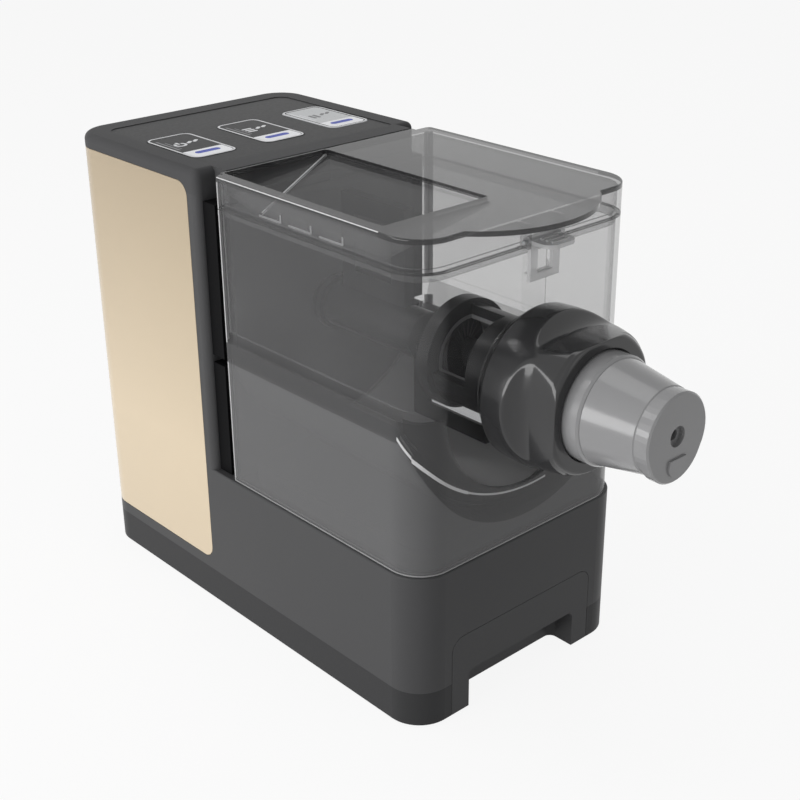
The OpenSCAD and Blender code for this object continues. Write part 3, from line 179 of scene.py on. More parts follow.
def clear_part_measures(tree, place):
    """Measures that bound a region of a clear part: its place, the distance from the middle plane,
    from the drive axis and from the middle of the corner's painted highlight, and how far it lies along
    the normals of that highlight's straight end and of the tray's crease."""
    parts = add(tree, "ShaderNodeSeparateXYZ", links={"Vector": place})
    across = add(tree, "ShaderNodeMath", {"operation": "ABSOLUTE"}, {0: parts.outputs["X"]})
    measures = {"x": parts.outputs["X"], "y": parts.outputs["Y"], "z": parts.outputs["Z"],
                "across": across.outputs[0]}
    for measure, x, z in (("radius", 0, AXIS_Z), ("highlight_arc", HIGHLIGHT_ARC_X, HIGHLIGHT_ARC_Z)):
        off = add(tree, "ShaderNodeMapping",
                  {"Location": (-x * MM, 0, -z * MM), "Scale": (1, 0, 1)}, {"Vector": place})
        length = add(tree, "ShaderNodeVectorMath", {"operation": "LENGTH"}, {0: off.outputs["Vector"]})
        measures[measure] = length.outputs["Value"]
    for measure, normal in (("highlight_end", HIGHLIGHT_END_NORMAL), ("crease", CREASE_NORMAL)):
        along = add(tree, "ShaderNodeVectorMath", {"operation": "DOT_PRODUCT", 1: normal}, {0: place})
        measures[measure] = along.outputs["Value"]
    return measures


def clear_polycarbonate(name, colour, alpha, regions=()):
    """Smoke-tinted clear polycarbonate, injection moulded and polished: see-through walls that look
    denser where the eye meets them at a slant. Each region is a list of limits in mm, a colour and
    an opacity: many regions paint dark bands of painted shade, where thick sections and edges of the
    tinted moulding look darker, and light lines of painted highlight, where cut or rounded edges
    catch the light."""
    mat, tree, place = new_material(name)
    ripple = add(tree, "ShaderNodeTexNoise", {"Scale": RIPPLE_SCALE, "Detail": 1.0}, {"Vector": place})
    bump = add(tree, "ShaderNodeBump",
               {"Strength": 0.06, "Distance": 1.0 * MM}, {"Height": ripple.outputs["Fac"]})
    slant = add(tree, "ShaderNodeLayerWeight", {"Blend": 0.3}, {"Normal": bump.outputs["Normal"]})
    veil = add(tree, "ShaderNodeMapRange",
               {"From Min": 0.25, "From Max": 1.0, "To Min": alpha, "To Max": min(1.0, alpha + 0.35)},
               {"Value": slant.outputs["Facing"]})
    opacity = veil.outputs["Result"]
    haze = add(tree, "ShaderNodeMapRange",
               {**NOISE_SPAN, "To Min": 0.94, "To Max": 1.06}, {"Value": ripple.outputs["Fac"]})
    tint = add(tree, "ShaderNodeMix",
               {"data_type": "RGBA", "blend_type": "MULTIPLY", MIX_BY: 1.0, COLOUR_A: linear(colour)},
               {COLOUR_B: haze.outputs["Result"]}).outputs[COLOUR_OUT]
    measures = clear_part_measures(tree, place) if regions else {}
    for limits, shade, cover in regions:
        inside = None
        for measure, low, high in limits:
            within = add(tree, "ShaderNodeMath",
                         {"operation": "COMPARE", 1: (low + high) / 2 * MM, 2: (high - low) / 2 * MM},
                         {0: measures[measure]})
            if inside is None:
                inside = within
            else:
                inside = add(tree, "ShaderNodeMath", {"operation": "MULTIPLY"},
                             {0: inside.outputs[0], 1: within.outputs[0]})
        tint = add(tree, "ShaderNodeMix", {"data_type": "RGBA", COLOUR_B: linear(shade)},
                   {MIX_BY: inside.outputs[0], COLOUR_A: tint}).outputs[COLOUR_OUT]
        opacity = add(tree, "ShaderNodeMix", {"data_type": "FLOAT", VALUE_B: cover},
                      {MIX_BY: inside.outputs[0], VALUE_A: opacity}).outputs[VALUE_OUT]
    shader = add(tree, "ShaderNodeBsdfPrincipled",
                 {"Roughness": 0.07, "IOR": 1.58, "Specular IOR Level": 0.35},
                 {"Base Color": tint, "Alpha": opacity, "Normal": bump.outputs["Normal"]})
    return finish_material(mat, tree, shader)


# Real tool grain is 0.1 to 0.3 mm and brushed lines are about 0.1 mm wide. Both are too fine to show
# in the render, so they are drawn several times coarser.

# Satin grain: broad soft greys without mirrored lamps
CHARCOAL_ABS = moulded_plastic("charcoal ABS, satin grain", "#474748", rough=0.42, grain_mm=1.4,
                               grain_depth=0.006, drift=0.02, gloss_level=0.14)
# Finer satin with hardly any shine: the top stays dark under the lamp above it
COVER_ABS = moulded_plastic("charcoal ABS, fine satin", "#4b4b4c", rough=0.5, grain_mm=1.1,
                            grain_depth=0.005, drift=0.02, gloss_level=0.04)
# The same grain in a darker mix, so the lower shell and the rear read as mouldings of their own
DARK_ABS = moulded_plastic("near-black ABS, satin grain", "#343435", rough=0.45, grain_mm=1.4,
                           grain_depth=0.006, drift=0.02, gloss_level=0.14)
# Matt tool surface: rails and recesses stay black
BLACK_ABS = moulded_plastic("black ABS, matt", "#101011", rough=0.55, grain_mm=1.4,
                            grain_depth=0.006, drift=0.04, gloss_level=0.04)
# Polished sheet: flat, even and dark
PANEL_ACRYLIC = moulded_plastic("dark acrylic panel, polished", "#303031", rough=0.34, grain_mm=2.5,
                                grain_depth=0.002, drift=0.015, gloss_level=0.04)
# Sprayed lacquer under a clear coat: warm, smooth and silky, with painted shade that darkens it towards
# the top
CHAMPAGNE = moulded_plastic("champagne lacquer over ABS", "#d0bea1", rough=0.4, grain_mm=0.9,
                            grain_depth=0.002, drift=0.01, coat=0.8, coat_rough=0.22,
                            painted_top_shade=("#a59479", 110, 290))
# Polished tool: clean light grey with soft reflections
KEY_GREY = moulded_plastic("light grey ABS, polished", "#c4c6c8", rough=0.3, grain_mm=1.5,
                           grain_depth=0.003, drift=0.02)
# Milky and smooth: nearly white, as though lit from inside
LIGHT_STRIP = moulded_plastic("milky light guide", "#fbfcff", rough=0.25, grain_mm=1.2,
                              grain_depth=0.003, drift=0.015)
# Strong blue with little shine, as a lit window looks
LIT_BLUE = moulded_plastic("blue lit window", "#1c3cb4", rough=0.3, grain_mm=1.2,
                           grain_depth=0.003, drift=0.02, gloss_level=0.1)
# Thin ink: crisp light marks that stand off the dark keys
PRINT_GREY = moulded_plastic("light grey pad printing", "#e6e7e9", rough=0.4, grain_mm=0.6,
                             grain_depth=0.003, drift=0.03)
# The same ink in dark grey: marks that stay quiet
PRINT_FAINT = moulded_plastic("dark grey pad printing", "#6f7072", rough=0.4, grain_mm=0.6,
                              grain_depth=0.003, drift=0.03)
# Dense and machined: deep black with a slightly greasy sheen
BLACK_ACETAL = moulded_plastic("black acetal, machined smooth", "#1d1d1e", rough=0.32, grain_mm=0.7,
                               grain_depth=0.005, drift=0.06)
# Dull middle grey that sets the bush off from the black tube
GREY_ACETAL = moulded_plastic("grey acetal", "#808081", rough=0.4, grain_mm=0.6,
                              grain_depth=0.006, drift=0.03)
# Satin under a thin gloss: light grey with long clear highlights along the cone
NOZZLE_ABS = moulded_plastic("light grey ABS, satin", "#8c8c8d", rough=0.24, grain_mm=1.2,
                             grain_depth=0.003, drift=0.02, coat=0.4, coat_rough=0.12)
# High gloss: nearly black, with sharp streaks where the scallops meet the barrel
NUT_ABS = moulded_plastic("dark ABS, high gloss", "#2f2f30", rough=0.2, grain_mm=1.8,
                          grain_depth=0.003, drift=0.03, gloss_level=0.25, coat=0.4, coat_rough=0.06)
# Matt and grainy: swallows the light
RUBBER = moulded_plastic("black rubber", "#161616", rough=0.75, grain_mm=0.4,
                         grain_depth=0.02, drift=0.06)
# Waxy off-white with soft highlights
NYLON = moulded_plastic("natural nylon", "#dedacd", rough=0.45, grain_mm=0.5,
                        grain_depth=0.01, drift=0.03)
# Green lacquer, uneven where the copper lies under it
CIRCUIT = moulded_plastic("green solder mask", "#1f5a34", rough=0.3, grain_mm=0.9,
                          grain_depth=0.01, drift=0.12)

# Even, pale and without streaks: the one bright piece in the dark trough, made brighter by a glow of
# painted light
BLASTED_STEEL = metal("bead-blasted stainless steel", "#f0f1f2", rough=0.55, line_mm=0.5,
                      depth=0.004, stretch=(1, 1, 1), glow=0.42)
# Fine lines that draw the highlights out along the piece
STEEL = metal("brushed stainless steel", "#d6d8da", rough=0.34, line_mm=0.35,
              depth=0.004, stretch=(1, 0.03, 1))
# Dull grey with a mottled skin
CAST_ALUMINIUM = metal("cast aluminium", "#a9acae", rough=0.45, line_mm=0.8,
                       depth=0.02, stretch=(1, 1, 1))
# Cool grey with faint drawn lines
ZINC_PLATE = metal("zinc-plated steel can", "#a2a4a8", rough=0.36, line_mm=0.5,
                   depth=0.01, stretch=(1, 0.05, 1))
# Warm yellow with turned lines and a bright sheen
BRASS = metal("turned brass", "#c9a45a", rough=0.28, line_mm=0.3,
              depth=0.01, stretch=(1, 0.05, 1))

# Stretches of the hopper in mm, each a measure with its lowest and highest value. FOOT is a little
# below the hopper, and the dark band of painted shade crosses its left side at half height
FOOT = 100
SHADE_BAND_Z0 = 184
SHADE_BAND_Z1 = 197
FRONT_WALL = ("y", -113.2, -110.2)
FRONT_CORNER = ("y", -113.2, -103.5)
SHELL = ("radius", TROUGH_OUT + 0.5, 300)
LEFT = ("x", -90, 0)
RIGHT = ("x", 0, 90)
BELOW_BAND = ("z", FOOT, SHADE_BAND_Z0)
REAR_CORNERS = [("across", 81.6, 87), ("y", 57.1, 62)]

# Smoke-grey and clear above, nearly closed below, where the trough and the outer wall lie one behind
# the other; dark bands of painted shade and light lines of painted highlight lie on it
CLEAR_HOPPER = clear_polycarbonate("clear polycarbonate, hopper", "#7c7c7d", alpha=0.19, regions=[
    # Front wall between its corners
    ([FRONT_WALL, ("across", 0, 64)], "#6a6a6b", 0.13),
    # Wall of the U-shaped trough, pale grey as painted light: it stands in for light that barely reaches
    # inside
    ([("radius", TROUGH_R - 1, TROUGH_OUT + 0.5), ("z", FOOT, 180), ("y", -112, 70)], "#c6c6c7", 0.8),
    # Outer walls below the band, on the left and on the right
    ([SHELL, BELOW_BAND, LEFT], "#666667", 0.68),
    ([SHELL, ("z", FOOT, SHADE_BAND_Z0 - 8), RIGHT], "#666667", 0.68),
    # Painted shade: a dark band on the left side, where the trough bends away from the outer wall
    ([SHELL, ("z", SHADE_BAND_Z0, SHADE_BAND_Z1), LEFT], "#444445", 0.72),
    # Painted shade: a dark U on the front wall, over the fillet where the trough meets it
    ([("radius", TROUGH_R - 15, TROUGH_OUT + 3.4), ("z", FOOT, SHADE_BAND_Z1), ("y", -114, -95)],
     "#3a3a3b", 0.78),
    # Painted highlight: a light line round the corner, its straight end on the side wall and its thin end
    # on the front
    ([("highlight_arc", 108.0, 109.8), BELOW_BAND, FRONT_CORNER, ("x", -88, -48)], "#d2d2d3", 0.82),
    ([("highlight_end", HIGHLIGHT_END_AT - 0.7, HIGHLIGHT_END_AT + 0.7), ("y", -103.5, -95.5), ("x", -88, -76)],
     "#d2d2d3", 0.82),
    ([("highlight_arc", 108.2, 109.4), BELOW_BAND, ("y", -113.2, -112.5), ("x", -48, 16)], "#c6c6c7", 0.8),
    # Dark rim, and a painted highlight along the edge on the base
    ([("z", RIM_Z - 0.5, RIM_Z + 1)], "#262627", 0.9),
    ([("z", FOOT, BASE_H + 0.9)], "#a2a2a3", 0.95),
    # Painted highlights on the rear edges, below and above the band
    (REAR_CORNERS + [BELOW_BAND], "#b9b9ba", 0.9),
    (REAR_CORNERS + [("z", SHADE_BAND_Z1, RIM_Z - 0.6)], "#b9b9ba", 0.9),
])
# A flat plate that looks greyer than the walls, with painted shade on its edges and painted highlights
# along the left edge and the rear edges
CLEAR_LID = clear_polycarbonate("clear polycarbonate, lid", "#7a7a7b", alpha=0.22, regions=[
    # Plate
    ([("z", 296.9, 300.1)], "#474748", 0.64),
    # Painted shade on the edges: the front lip, the two sides, and round the pouring tray
    ([("z", 297.1, 299.8), ("y", -140, -83)], "#303031", 0.93),
    ([("z", 298.4, 299.8), ("across", 84.5, 87)], "#333334", 0.9),
    ([("z", 298.2, 299.8), ("x", -78, 3), ("y", -78.2, 63)], "#303031", 0.9),
    # Painted highlight along the top of the left edge
    ([("z", 299.55, 301), ("x", -87, -85.3), ("y", -83, 61)], "#dcdcdd", 0.97),
    # Painted highlights on the rear edges of the rim
    (REAR_CORNERS + [("z", RIM_Z, 297)], "#b9b9ba", 0.9),
])
# A shade darker, painted shade: through its sloped floor the eye meets the dark trough
CLEAR_TRAY = clear_polycarbonate("clear polycarbonate, pouring tray", "#5e5e5f", alpha=0.24, regions=[
    # Painted highlight along the crease in the floor, and painted shade on the front edge
    ([("crease", CREASE_AT - 0.55, CREASE_AT + 0.55), ("across", 0, 76.6)], "#c9c9ca", 0.85),
    ([("z", 296.3, 297.2), ("y", -78.9, -77)], "#3a3a3b", 0.9),
])
# Thin and full of polished edges: paler than the lid, a painted highlight that stands for the glints on
# those edges
CLEAR_LATCH = clear_polycarbonate("clear polycarbonate, latch", "#dcdcdd", alpha=0.46)
# Painted highlight for edges that catch the light: pale and nearly closed
EDGE_HIGHLIGHT_PAINT = clear_polycarbonate("painted edge highlight on clear polycarbonate", "#cfcfd0", alpha=0.75)

FINISH = {
    CHARCOAL_ABS: ["main_casing", "drawer_front"],
    COVER_ABS: ["top_cover"],
    DARK_ABS: ["bottom_tray", "rear_cover", "drawer_tray"],
    BLACK_ABS: ["hopper_hooks", "power_inlet", "cooling_fan"],
    PANEL_ACRYLIC: ["control_panel", "power_key", "menu_key"],
    CHAMPAGNE: ["side_panel_left", "side_panel_right"],
    KEY_GREY: ["start_key"],
    LIGHT_STRIP: ["power_light", "menu_light", "start_light"],
    BLACK_ACETAL: ["extrusion_tube", "mixing_shaft", "auger", "front_blade", "rear_paddle"],
    GREY_ACETAL: ["tube_bush"],
    NOZZLE_ABS: ["nozzle", "nozzle_end_disc"],
    NUT_ABS: ["locking_nut"],
    RUBBER: ["rubber_feet", "shaft_seal", "nozzle_seal"],
    NYLON: ["drive_gear"],
    CIRCUIT: ["control_board", "power_board"],
    BLASTED_STEEL: ["scraper_bar"],
    STEEL: ["latch_pin", "cover_screws", "tray_screws", "plate_screws",
            "drive_shaft", "motor_shaft", "front_bearing", "rear_bearing"],
    CAST_ALUMINIUM: ["gear_plate"],
    ZINC_PLATE: ["gear_motor"],
    BRASS: ["motor_pinion"],
    CLEAR_HOPPER: ["hopper"],
    CLEAR_LID: ["lid"],
    CLEAR_TRAY: ["pour_tray"],
    CLEAR_LATCH: ["lid_latch"],
}
for material, names in FINISH.items():
    for name in names:
        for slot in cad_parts[name].material_slots:
            slot.material = material


# ---------------------------------------------------------------- printed and moulded details

# Keys from left to right, and the places of their tops in mm
KEYS = {"power_key": -1, "menu_key": 0, "start_key": 1}
KEY_PITCH = 53.95
KEY_TOP = 299.8
KEY_HALF = 16.75
KEY_Y0 = 100.5
KEY_Y1 = 158.5

# Prints start a little below the key's top and stand a little above it, so no two faces coincide
PRINT_Z = KEY_TOP - 0.05
OUTLINE_H = 0.15
DARK_LINE_H = 0.09
WINDOW_H = 0.13
MARK_H = 0.11

# Lines round a key: distance in from its edge, width and corner radius
OUTLINE = (0.45, 1.3, 6.05)
DARK_LINE = (1.75, 0.8, 4.75)

# Lit window: middle along y, width, length and corner radius
WINDOW_Y, WINDOW_W, WINDOW_L, WINDOW_R = 111.6, 18.0, 4.8, 2.2

# Inks of a key's sign and of its scale; the start key is light, so there they change places
KEY_INKS = {
    "power_key": (PRINT_GREY, PRINT_FAINT),
    "menu_key": (PRINT_GREY, PRINT_FAINT),
    "start_key": (PRINT_FAINT, PRINT_GREY),
}

# Printed bars: x from the key's middle, y, width, length, and turn in degrees
SCALE_BARS = [(-12.3, 137, 1.5, 27, 0), (-9.6, 135, 0.8, 19, 0)]
SIGN_BARS = {
    "power_key": [(-4.6, 138.0, 1.8, 4.8, 0)],
    "menu_key": [(-4.6, 131.2, 7.4, 2.2, 0), (-4.6, 134.7, 7.4, 2.2, 0), (-4.6, 138.2, 7.4, 2.2, 0)],
    "start_key": [(-6.4, 134.5, 2.3, 8.4, 0), (-2.8, 134.5, 2.3, 8.4, 0)],
}
STROKES = [(3.2, 136.2, 2.5, 5.6, -52), (8.4, 137.2, 2.5, 5.6, -52)]

# Open ring of the power key's sign: middle, radii, first angle and sweep in degrees, and steps
RING_X, RING_Y = -4.6, 134.5
RING_R0, RING_R1 = 2.6, 4.4
RING_FROM, RING_SWEEP = 125, 290
RING_STEPS = 14


def finish_piece(name, bm, material, body):
    """Turns the millimetre mesh into a piece in metres that rides on a body."""
    bmesh.ops.remove_doubles(bm, verts=bm.verts, dist=0.001)
    bmesh.ops.recalc_face_normals(bm, faces=bm.faces)
    bmesh.ops.scale(bm, vec=(MM, MM, MM), verts=bm.verts)
    mesh = bpy.data.meshes.new(name)
    bm.to_mesh(mesh)
    bm.free()
    mesh.materials.append(material)
    piece = bpy.data.objects.new(name, mesh)
    bpy.context.scene.collection.objects.link(piece)
    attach(piece, body)
    return piece


def join(bm, part):
    """Adds a finished part to the mesh and frees it."""
    mesh = bpy.data.meshes.new("part")
    part.to_mesh(mesh)
    part.free()
    bm.from_mesh(mesh)
    bpy.data.meshes.remove(mesh)


def rounded_patch(bm, x0, x1, y0, y1, z, r, segments=6):
    """Flat rounded rectangle; returns its face."""
    corners = [bm.verts.new(p) for p in ((x0, y0, z), (x1, y0, z), (x1, y1, z), (x0, y1, z))]
    bm.faces.new(corners)
    bmesh.ops.bevel(bm, geom=corners, offset=r, offset_type="OFFSET", segments=segments,
                    profile=0.5, affect="VERTICES", material=-1)
    return max((f for f in bm.faces if all(abs(v.co.z - z) < 1e-6 for v in f.verts)),
               key=lambda f: f.calc_area())


def raise_faces(bm, faces, height):
    """Thickens flat faces upwards into a closed print or moulding."""
    up = bmesh.ops.extrude_face_region(bm, geom=faces, use_keep_orig=True)
    bmesh.ops.translate(bm, vec=(0, 0, height),
                        verts=[v for v in up["geom"] if isinstance(v, bmesh.types.BMVert)])


def rounded_bar(bm, centre, width, length, height, angle=0.0, r=None):
    """Raised rounded bar about a centre, turned by an angle in degrees, with nearly round ends."""
    part = bmesh.new()
    patch = rounded_patch(part, -width / 2, width / 2, -length / 2, length / 2, 0,
                          r or 0.45 * min(width, length), segments=4)
    raise_faces(part, [patch], height)
    bmesh.ops.rotate(part, cent=(0, 0, 0), matrix=Matrix.Rotation(math.radians(angle), 3, "Z"),
                     verts=part.verts)
    bmesh.ops.translate(part, vec=(centre[0], centre[1], PRINT_Z), verts=part.verts)
    join(bm, part)


def open_ring(bm, x):
    """Raised band along most of a circle, for the power key's sign."""
    part = bmesh.new()
    turn = Matrix.Rotation(math.radians(RING_FROM), 3, "Z")
    section = [part.verts.new(turn @ Vector(p))
               for p in ((RING_R0, 0, 0), (RING_R1, 0, 0), (RING_R1, 0, MARK_H), (RING_R0, 0, MARK_H))]
    face = part.faces.new(section)
    bmesh.ops.spin(part, geom=[face] + section + list(face.edges), cent=(0, 0, 0), axis=(0, 0, 1),
                   angle=math.radians(RING_SWEEP), steps=RING_STEPS, use_duplicate=False)
    bmesh.ops.translate(part, vec=(x + RING_X, RING_Y, PRINT_Z), verts=part.verts)
    join(bm, part)


def line_round_key(name, key, line, height, material):
    """Thin raised line that follows the edge of a key's top."""
    edge, width, corner_r = line
    x = KEYS[key] * KEY_PITCH
    bm = bmesh.new()
    face = rounded_patch(bm, x - KEY_HALF + edge, x + KEY_HALF - edge, KEY_Y0 + edge, KEY_Y1 - edge,
                         PRINT_Z, corner_r)
    rim = bmesh.ops.inset_individual(bm, faces=[face], thickness=width, use_even_offset=True)["faces"]
    bmesh.ops.delete(bm, geom=[f for f in bm.faces if f not in rim], context="FACES")
    raise_faces(bm, list(bm.faces), height)
    finish_piece(name, bm, material, key + "_body")


def key_window(key):
    """Blue lit window in the middle of the light strip."""
    bm = bmesh.new()
    rounded_bar(bm, (KEYS[key] * KEY_PITCH, WINDOW_Y), WINDOW_W, WINDOW_L, WINDOW_H, r=WINDOW_R)
    finish_piece(key + "_window", bm, LIT_BLUE, key + "_body")


def key_marks(key):
    """Plain pad-printed marks: two upright bars as a scale, then a sign and two slanted strokes."""
    x = KEYS[key] * KEY_PITCH
    sign_ink, scale_ink = KEY_INKS[key]
    for mark, bars, ink in (("_scale", SCALE_BARS, scale_ink),
                            ("_sign", SIGN_BARS[key] + STROKES, sign_ink)):
        bm = bmesh.new()
        if key + mark == "power_key_sign":
            open_ring(bm, x)
        for off, y, width, length, angle in bars:
            rounded_bar(bm, (x + off, y), width, length, MARK_H, angle)
        finish_piece(key + mark, bm, ink, key + "_body")


for key in KEYS:
    line_round_key(key + "_outline", key, OUTLINE, OUTLINE_H, PRINT_GREY)
    key_window(key)
    key_marks(key)
# A dark line parts the start key's light face from its light outline
line_round_key("start_key_line", "start_key", DARK_LINE, DARK_LINE_H, BLACK_ABS)

# Locking nut in mm; lengths run forward from its rear face
NUT_REAR_Y = -117.0
NUT_L = 48.0
NUT_R = 46.0
NUT_FRONT_R = 41.0
NUT_STEPS = 320
# Its barrel is fullest at 0.3 of the length, between a rounded rear rim and a rounded front edge
NUT_BULGE = 0.3 * NUT_L
NUT_REAR_RIM = [(43.2, 0.0), (44.4, 0.35), (45.1, 1.0), (45.35, 1.9)]
NUT_EDGE_R = 3.2
# Rings along the barrel: the first, their spacing and their number
NUT_BARREL_FROM, NUT_BARREL_STEP, NUT_BARREL_N = 2.6, 0.75, 57
# Loop on the front face that stays where it is when the scallops run out through the face
NUT_FACE_R = 36.0
# Inside: the bore with its annular groove, the shoulder and the front collar
NUT_BORE_R = 34.3
NUT_GROOVE_R = 36.1
NUT_GROOVE_S0, NUT_GROOVE_S1 = 7.0, 13.0
NUT_SHOULDER_S = 27.3
NUT_COLLAR_R = 31.8
NUT_CHAMFER = 0.9
# Three bayonet slots from the rear face to the groove: their spacing and half width in degrees
NUT_SLOT_PITCH = 120
NUT_SLOT_HALF = 14.2
# Edges that turn by more than this many degrees stay crisp
NUT_CRISP = 40
# Scallops: height of the floor above the axis, where it starts to rise and how sharply, its slight
# dome across, and how far its meeting with the barrel is softened
SCALLOP_R = 37.6
SCALLOP_S = 30.0
SCALLOP_CURVE = 9.0
SCALLOP_DOME = 130.0
SCALLOP_SOFT = 1.1
# The bore, the collar and the rear face stay as they are turned
SCALLOP_LEAST_R = 37
SCALLOP_LEAST_S = 0.2


def nut_profile():
    """Radius and length of each point round the nut's wall, from the bore's rear edge over the outside."""
    curve = (NUT_L - NUT_BULGE) ** 2 / (2 * (NUT_R - NUT_FRONT_R))
    barrel = [NUT_BARREL_FROM + NUT_BARREL_STEP * k for k in range(NUT_BARREL_N)]
    profile = [(NUT_BORE_R, 0.0)] + NUT_REAR_RIM
    profile += [(NUT_R - (s - NUT_BULGE) ** 2 / (2 * curve), s) for s in barrel]
    profile += [(NUT_FRONT_R - NUT_EDGE_R + NUT_EDGE_R * math.cos(math.radians(a)),
                 NUT_L - NUT_EDGE_R + NUT_EDGE_R * math.sin(math.radians(a))) for a in range(10, 91, 10)]
    profile += [(NUT_FACE_R, NUT_L), (NUT_COLLAR_R + NUT_CHAMFER, NUT_L)]
    profile += [(NUT_COLLAR_R, NUT_L - NUT_CHAMFER), (NUT_COLLAR_R, NUT_SHOULDER_S)]
    profile += [(NUT_BORE_R, NUT_SHOULDER_S), (NUT_BORE_R, NUT_GROOVE_S1), (NUT_GROOVE_R, NUT_GROOVE_S1)]
    profile += [(NUT_GROOVE_R, NUT_GROOVE_S0), (NUT_BORE_R, NUT_GROOVE_S0)]
    return profile


def nut_shell():
    """Locking nut turned from its profile, then given four finger scallops that start behind the rear rim
    and run out through the front face; the softened meeting of scallop and barrel catches the light."""
    bm = bmesh.new()
    ring = [bm.verts.new((r, NUT_REAR_Y - s, AXIS_Z)) for r, s in nut_profile()]
    edges = [bm.edges.new((ring[k], ring[(k + 1) % len(ring)])) for k in range(len(ring))]
    bmesh.ops.spin(bm, geom=ring + edges, cent=(0, 0, AXIS_Z), axis=(0, 1, 0),
                   angle=2 * math.pi, steps=NUT_STEPS, use_merge=True)
    for v in bm.verts:
        s = NUT_REAR_Y - v.co.y
        r = math.hypot(v.co.x, v.co.z - AXIS_Z)
        turn = math.atan2(v.co.z - AXIS_Z, v.co.x)
        off_slot = abs((math.degrees(turn) % NUT_SLOT_PITCH) - NUT_SLOT_PITCH / 2)
        if r < NUT_BORE_R + 0.1 and s < NUT_GROOVE_S0 + 0.1 and off_slot < NUT_SLOT_HALF:
            v.co.x *= NUT_GROOVE_R / r
            v.co.z += (NUT_GROOVE_R - r) * math.sin(turn)
        if r < SCALLOP_LEAST_R or s < SCALLOP_LEAST_S:
            continue
        facet = round(turn / (math.pi / 2)) * math.pi / 2
        side, height = r * math.sin(turn - facet), r * math.cos(turn - facet)
        rise = max(0.0, SCALLOP_S - s) ** 2 / (2 * SCALLOP_CURVE)
        floor = SCALLOP_R + rise - side ** 2 / (2 * SCALLOP_DOME)
        meeting = max(SCALLOP_SOFT - abs(height - floor), 0.0)
        shift = height - (min(height, floor) - meeting ** 2 / (4 * SCALLOP_SOFT))
        v.co.x -= shift * math.cos(facet)
        v.co.z -= shift * math.sin(facet)
    piece = finish_piece("nut_shell", bm, NUT_ABS, "nut_body")
    piece.data.shade_smooth()
    piece.data.set_sharp_from_angle(angle=math.radians(NUT_CRISP))
    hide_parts("locking_nut")


nut_shell()

# Pouring slots: their middles along y, and the size and the place from a slot's middle of each strip of
# painted highlight
SLOT_YS = (-37, -10, 17)
SLOT_HIGHLIGHT_STRIPS = [((0.5, 20.0, 1.1), (-79.35, 0, 282.6)), ((0.5, 1.0, 4.6), (-79.35, -9.9, 284.7))]
HIGHLIGHT_STRIP_ROUND = 0.15


def slot_edge_highlights():
    """Pale strips on the outer face of the three pouring slots, each an L of a sill and an upright, that
    stand as painted highlights on the slots' polished edges.
    """
    bm = bmesh.new()
    for slot_y in SLOT_YS:
        for size, (x, y, z) in SLOT_HIGHLIGHT_STRIPS:
            part = bmesh.new()
            bmesh.ops.create_cube(part, size=1.0)
            bmesh.ops.scale(part, vec=size, verts=part.verts)
            bmesh.ops.bevel(part, geom=list(part.edges), offset=HIGHLIGHT_STRIP_ROUND, segments=2, profile=0.5,
                            affect="EDGES", material=-1)
            bmesh.ops.translate(part, vec=(x, slot_y + y, z), verts=part.verts)
            join(bm, part)
    finish_piece("slot_edge_highlights", bm, EDGE_HIGHLIGHT_PAINT, "lid_body")


slot_edge_highlights()


# ---------------------------------------------------------------- camera, light and floor

# Camera fitted to the photograph: turn, height and roll in degrees, place in metres, lens in mm
CAMERA_ANGLES = (-42.047, 24.762, -0.484)
CAMERA_PLACE = (-0.5367, -0.5988, 0.5215)
CAMERA_LENS = 63.12
SENSOR_WIDTH = 36

# Soft lamps: place, width and height in metres, and power in watts; they all face one point
SOFTBOXES = {
    "left_softbox": ((-1.35, 0.1, 0.35), 1.2, 0.6, 13),
    "front_softbox": ((0.5, -1.7, 0.9), 1.0, 0.8, 1.5),
    "top_softbox": ((0.1, 0.2, 1.8), 1.0, 1.0, 5),
    "streak_softbox": ((-0.78, 1.1, 1.66), 0.7, 0.3, 4),
}
LAMP_AIM = (0, 0, 0.16)

# Strength of the world that lights the object and of the white that is seen behind it
ROOM_LIGHT = 0.3
WHITE = 1.0

# Floor: half its width in metres, its tone, which clouds over about 330 mm, and how much of it is
# seen as plain white
FLOOR_HALF = 15.0
PAPER_SCALE = 3.0
PAPER_TONE = {"To Min": 0.84, "To Max": 0.88}
PAPER_WHITE = 0.9


def place_camera():
    """Camera that matches the photograph's view."""
    azimuth, elevation, roll = (math.radians(a) for a in CAMERA_ANGLES)
    back = Vector((math.sin(azimuth) * math.cos(elevation), -math.cos(azimuth) * math.cos(elevation),
                   math.sin(elevation)))
    right = Vector((0, 0, 1)).cross(back).normalized()
    up = back.cross(right)
    side = right * math.cos(roll) + up * math.sin(roll)
    top = up * math.cos(roll) - right * math.sin(roll)
    data = bpy.data.cameras.new("camera")
    data.lens = CAMERA_LENS
    data.sensor_width = SENSOR_WIDTH
    cam = bpy.data.objects.new("camera", data)
    cam.matrix_world = Matrix.Translation(CAMERA_PLACE) @ Matrix((side, top, back)).transposed().to_4x4()
    bpy.context.scene.collection.objects.link(cam)
    bpy.context.scene.camera = cam


def softbox(name, place, width, height, power):
    """Large soft lamp that faces the object."""
    data = bpy.data.lights.new(name, "AREA")
    data.shape = "RECTANGLE"
    data.size = width
    data.size_y = height
    data.energy = power
    lamp = bpy.data.objects.new(name, data)
    facing = (Vector(place) - Vector(LAMP_AIM)).to_track_quat("Z", "Y").to_matrix().to_4x4()
    lamp.matrix_world = Matrix.Translation(place) @ facing
    bpy.context.scene.collection.objects.link(lamp)


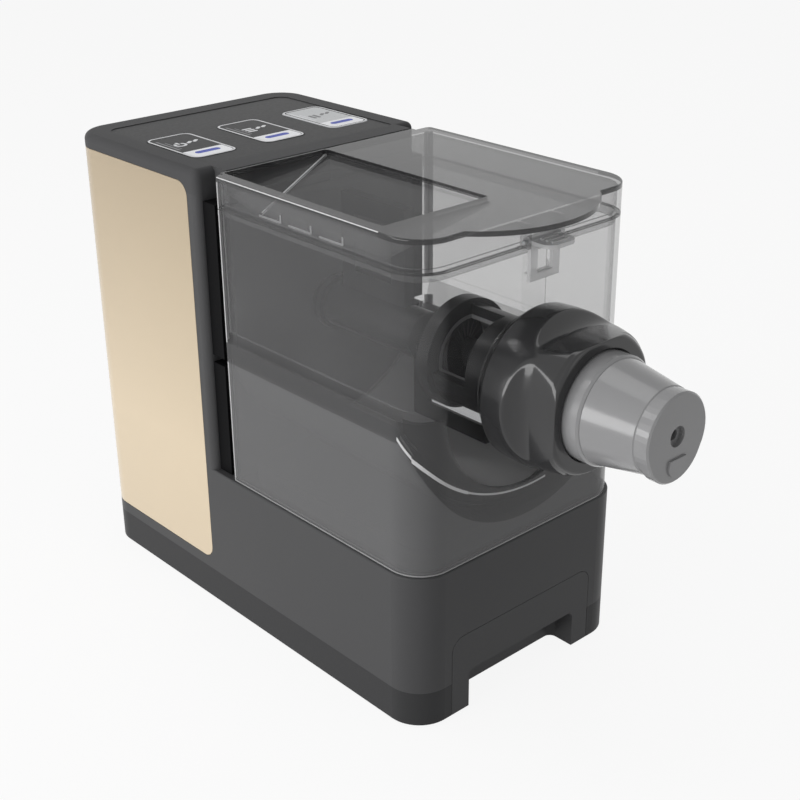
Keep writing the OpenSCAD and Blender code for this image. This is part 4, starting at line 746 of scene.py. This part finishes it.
def seen_white(tree, shown):
    """Share shown to the rays that carry the white background: straight, mirrored or through the
    clear plastic."""
    path = add(tree, "ShaderNodeLightPath")
    mirrored = add(tree, "ShaderNodeMath", {"operation": "MAXIMUM"},
                   {0: path.outputs["Is Camera Ray"], 1: path.outputs["Is Glossy Ray"]})
    through = add(tree, "ShaderNodeMath", {"operation": "MAXIMUM"},
                  {0: mirrored.outputs[0], 1: path.outputs["Is Transmission Ray"]})
    return add(tree, "ShaderNodeMath", {"operation": "MULTIPLY", 1: shown}, {0: through.outputs[0]})


def white_room():
    """World that lights the object softly and is seen as white."""
    world = bpy.data.worlds.new("studio")
    bpy.context.scene.world = world
    world.use_nodes = True
    tree = world.node_tree
    tree.nodes.clear()
    white = seen_white(tree, 1.0)
    tone = add(tree, "ShaderNodeMix", {"data_type": "FLOAT", VALUE_A: ROOM_LIGHT, VALUE_B: WHITE},
               {MIX_BY: white.outputs[0]})
    sky = add(tree, "ShaderNodeBackground", {"Color": (1, 1, 1, 1)},
              {"Strength": tone.outputs[VALUE_OUT]})
    add(tree, "ShaderNodeOutputWorld", links={"Surface": sky.outputs[0]})


def paper_floor():
    """Pale matt floor that keeps the object's shadow."""
    bm = bmesh.new()
    bmesh.ops.create_grid(bm, x_segments=1, y_segments=1, size=FLOOR_HALF)
    mesh = bpy.data.meshes.new("studio_floor")
    bm.to_mesh(mesh)
    bm.free()
    floor = bpy.data.objects.new("studio_floor", mesh)
    bpy.context.scene.collection.objects.link(floor)
    mat, tree, place = new_material("matt studio paper")
    cloud = add(tree, "ShaderNodeTexNoise", {"Scale": PAPER_SCALE}, {"Vector": place})
    tint = add(tree, "ShaderNodeMapRange", PAPER_TONE, {"Value": cloud.outputs["Fac"]})
    paper = add(tree, "ShaderNodeBsdfDiffuse", links={"Color": tint.outputs["Result"]})
    glow = add(tree, "ShaderNodeEmission", {"Color": (1, 1, 1, 1), "Strength": WHITE})
    white = seen_white(tree, PAPER_WHITE)
    mixed = add(tree, "ShaderNodeMixShader",
                links={0: white.outputs[0], 1: paper.outputs[0], 2: glow.outputs[0]})
    mesh.materials.append(finish_material(mat, tree, mixed))


bpy.context.scene.view_settings.view_transform = "Standard"
place_camera()
white_room()
paper_floor()
for name, settings in SOFTBOXES.items():
    softbox(name, *settings)
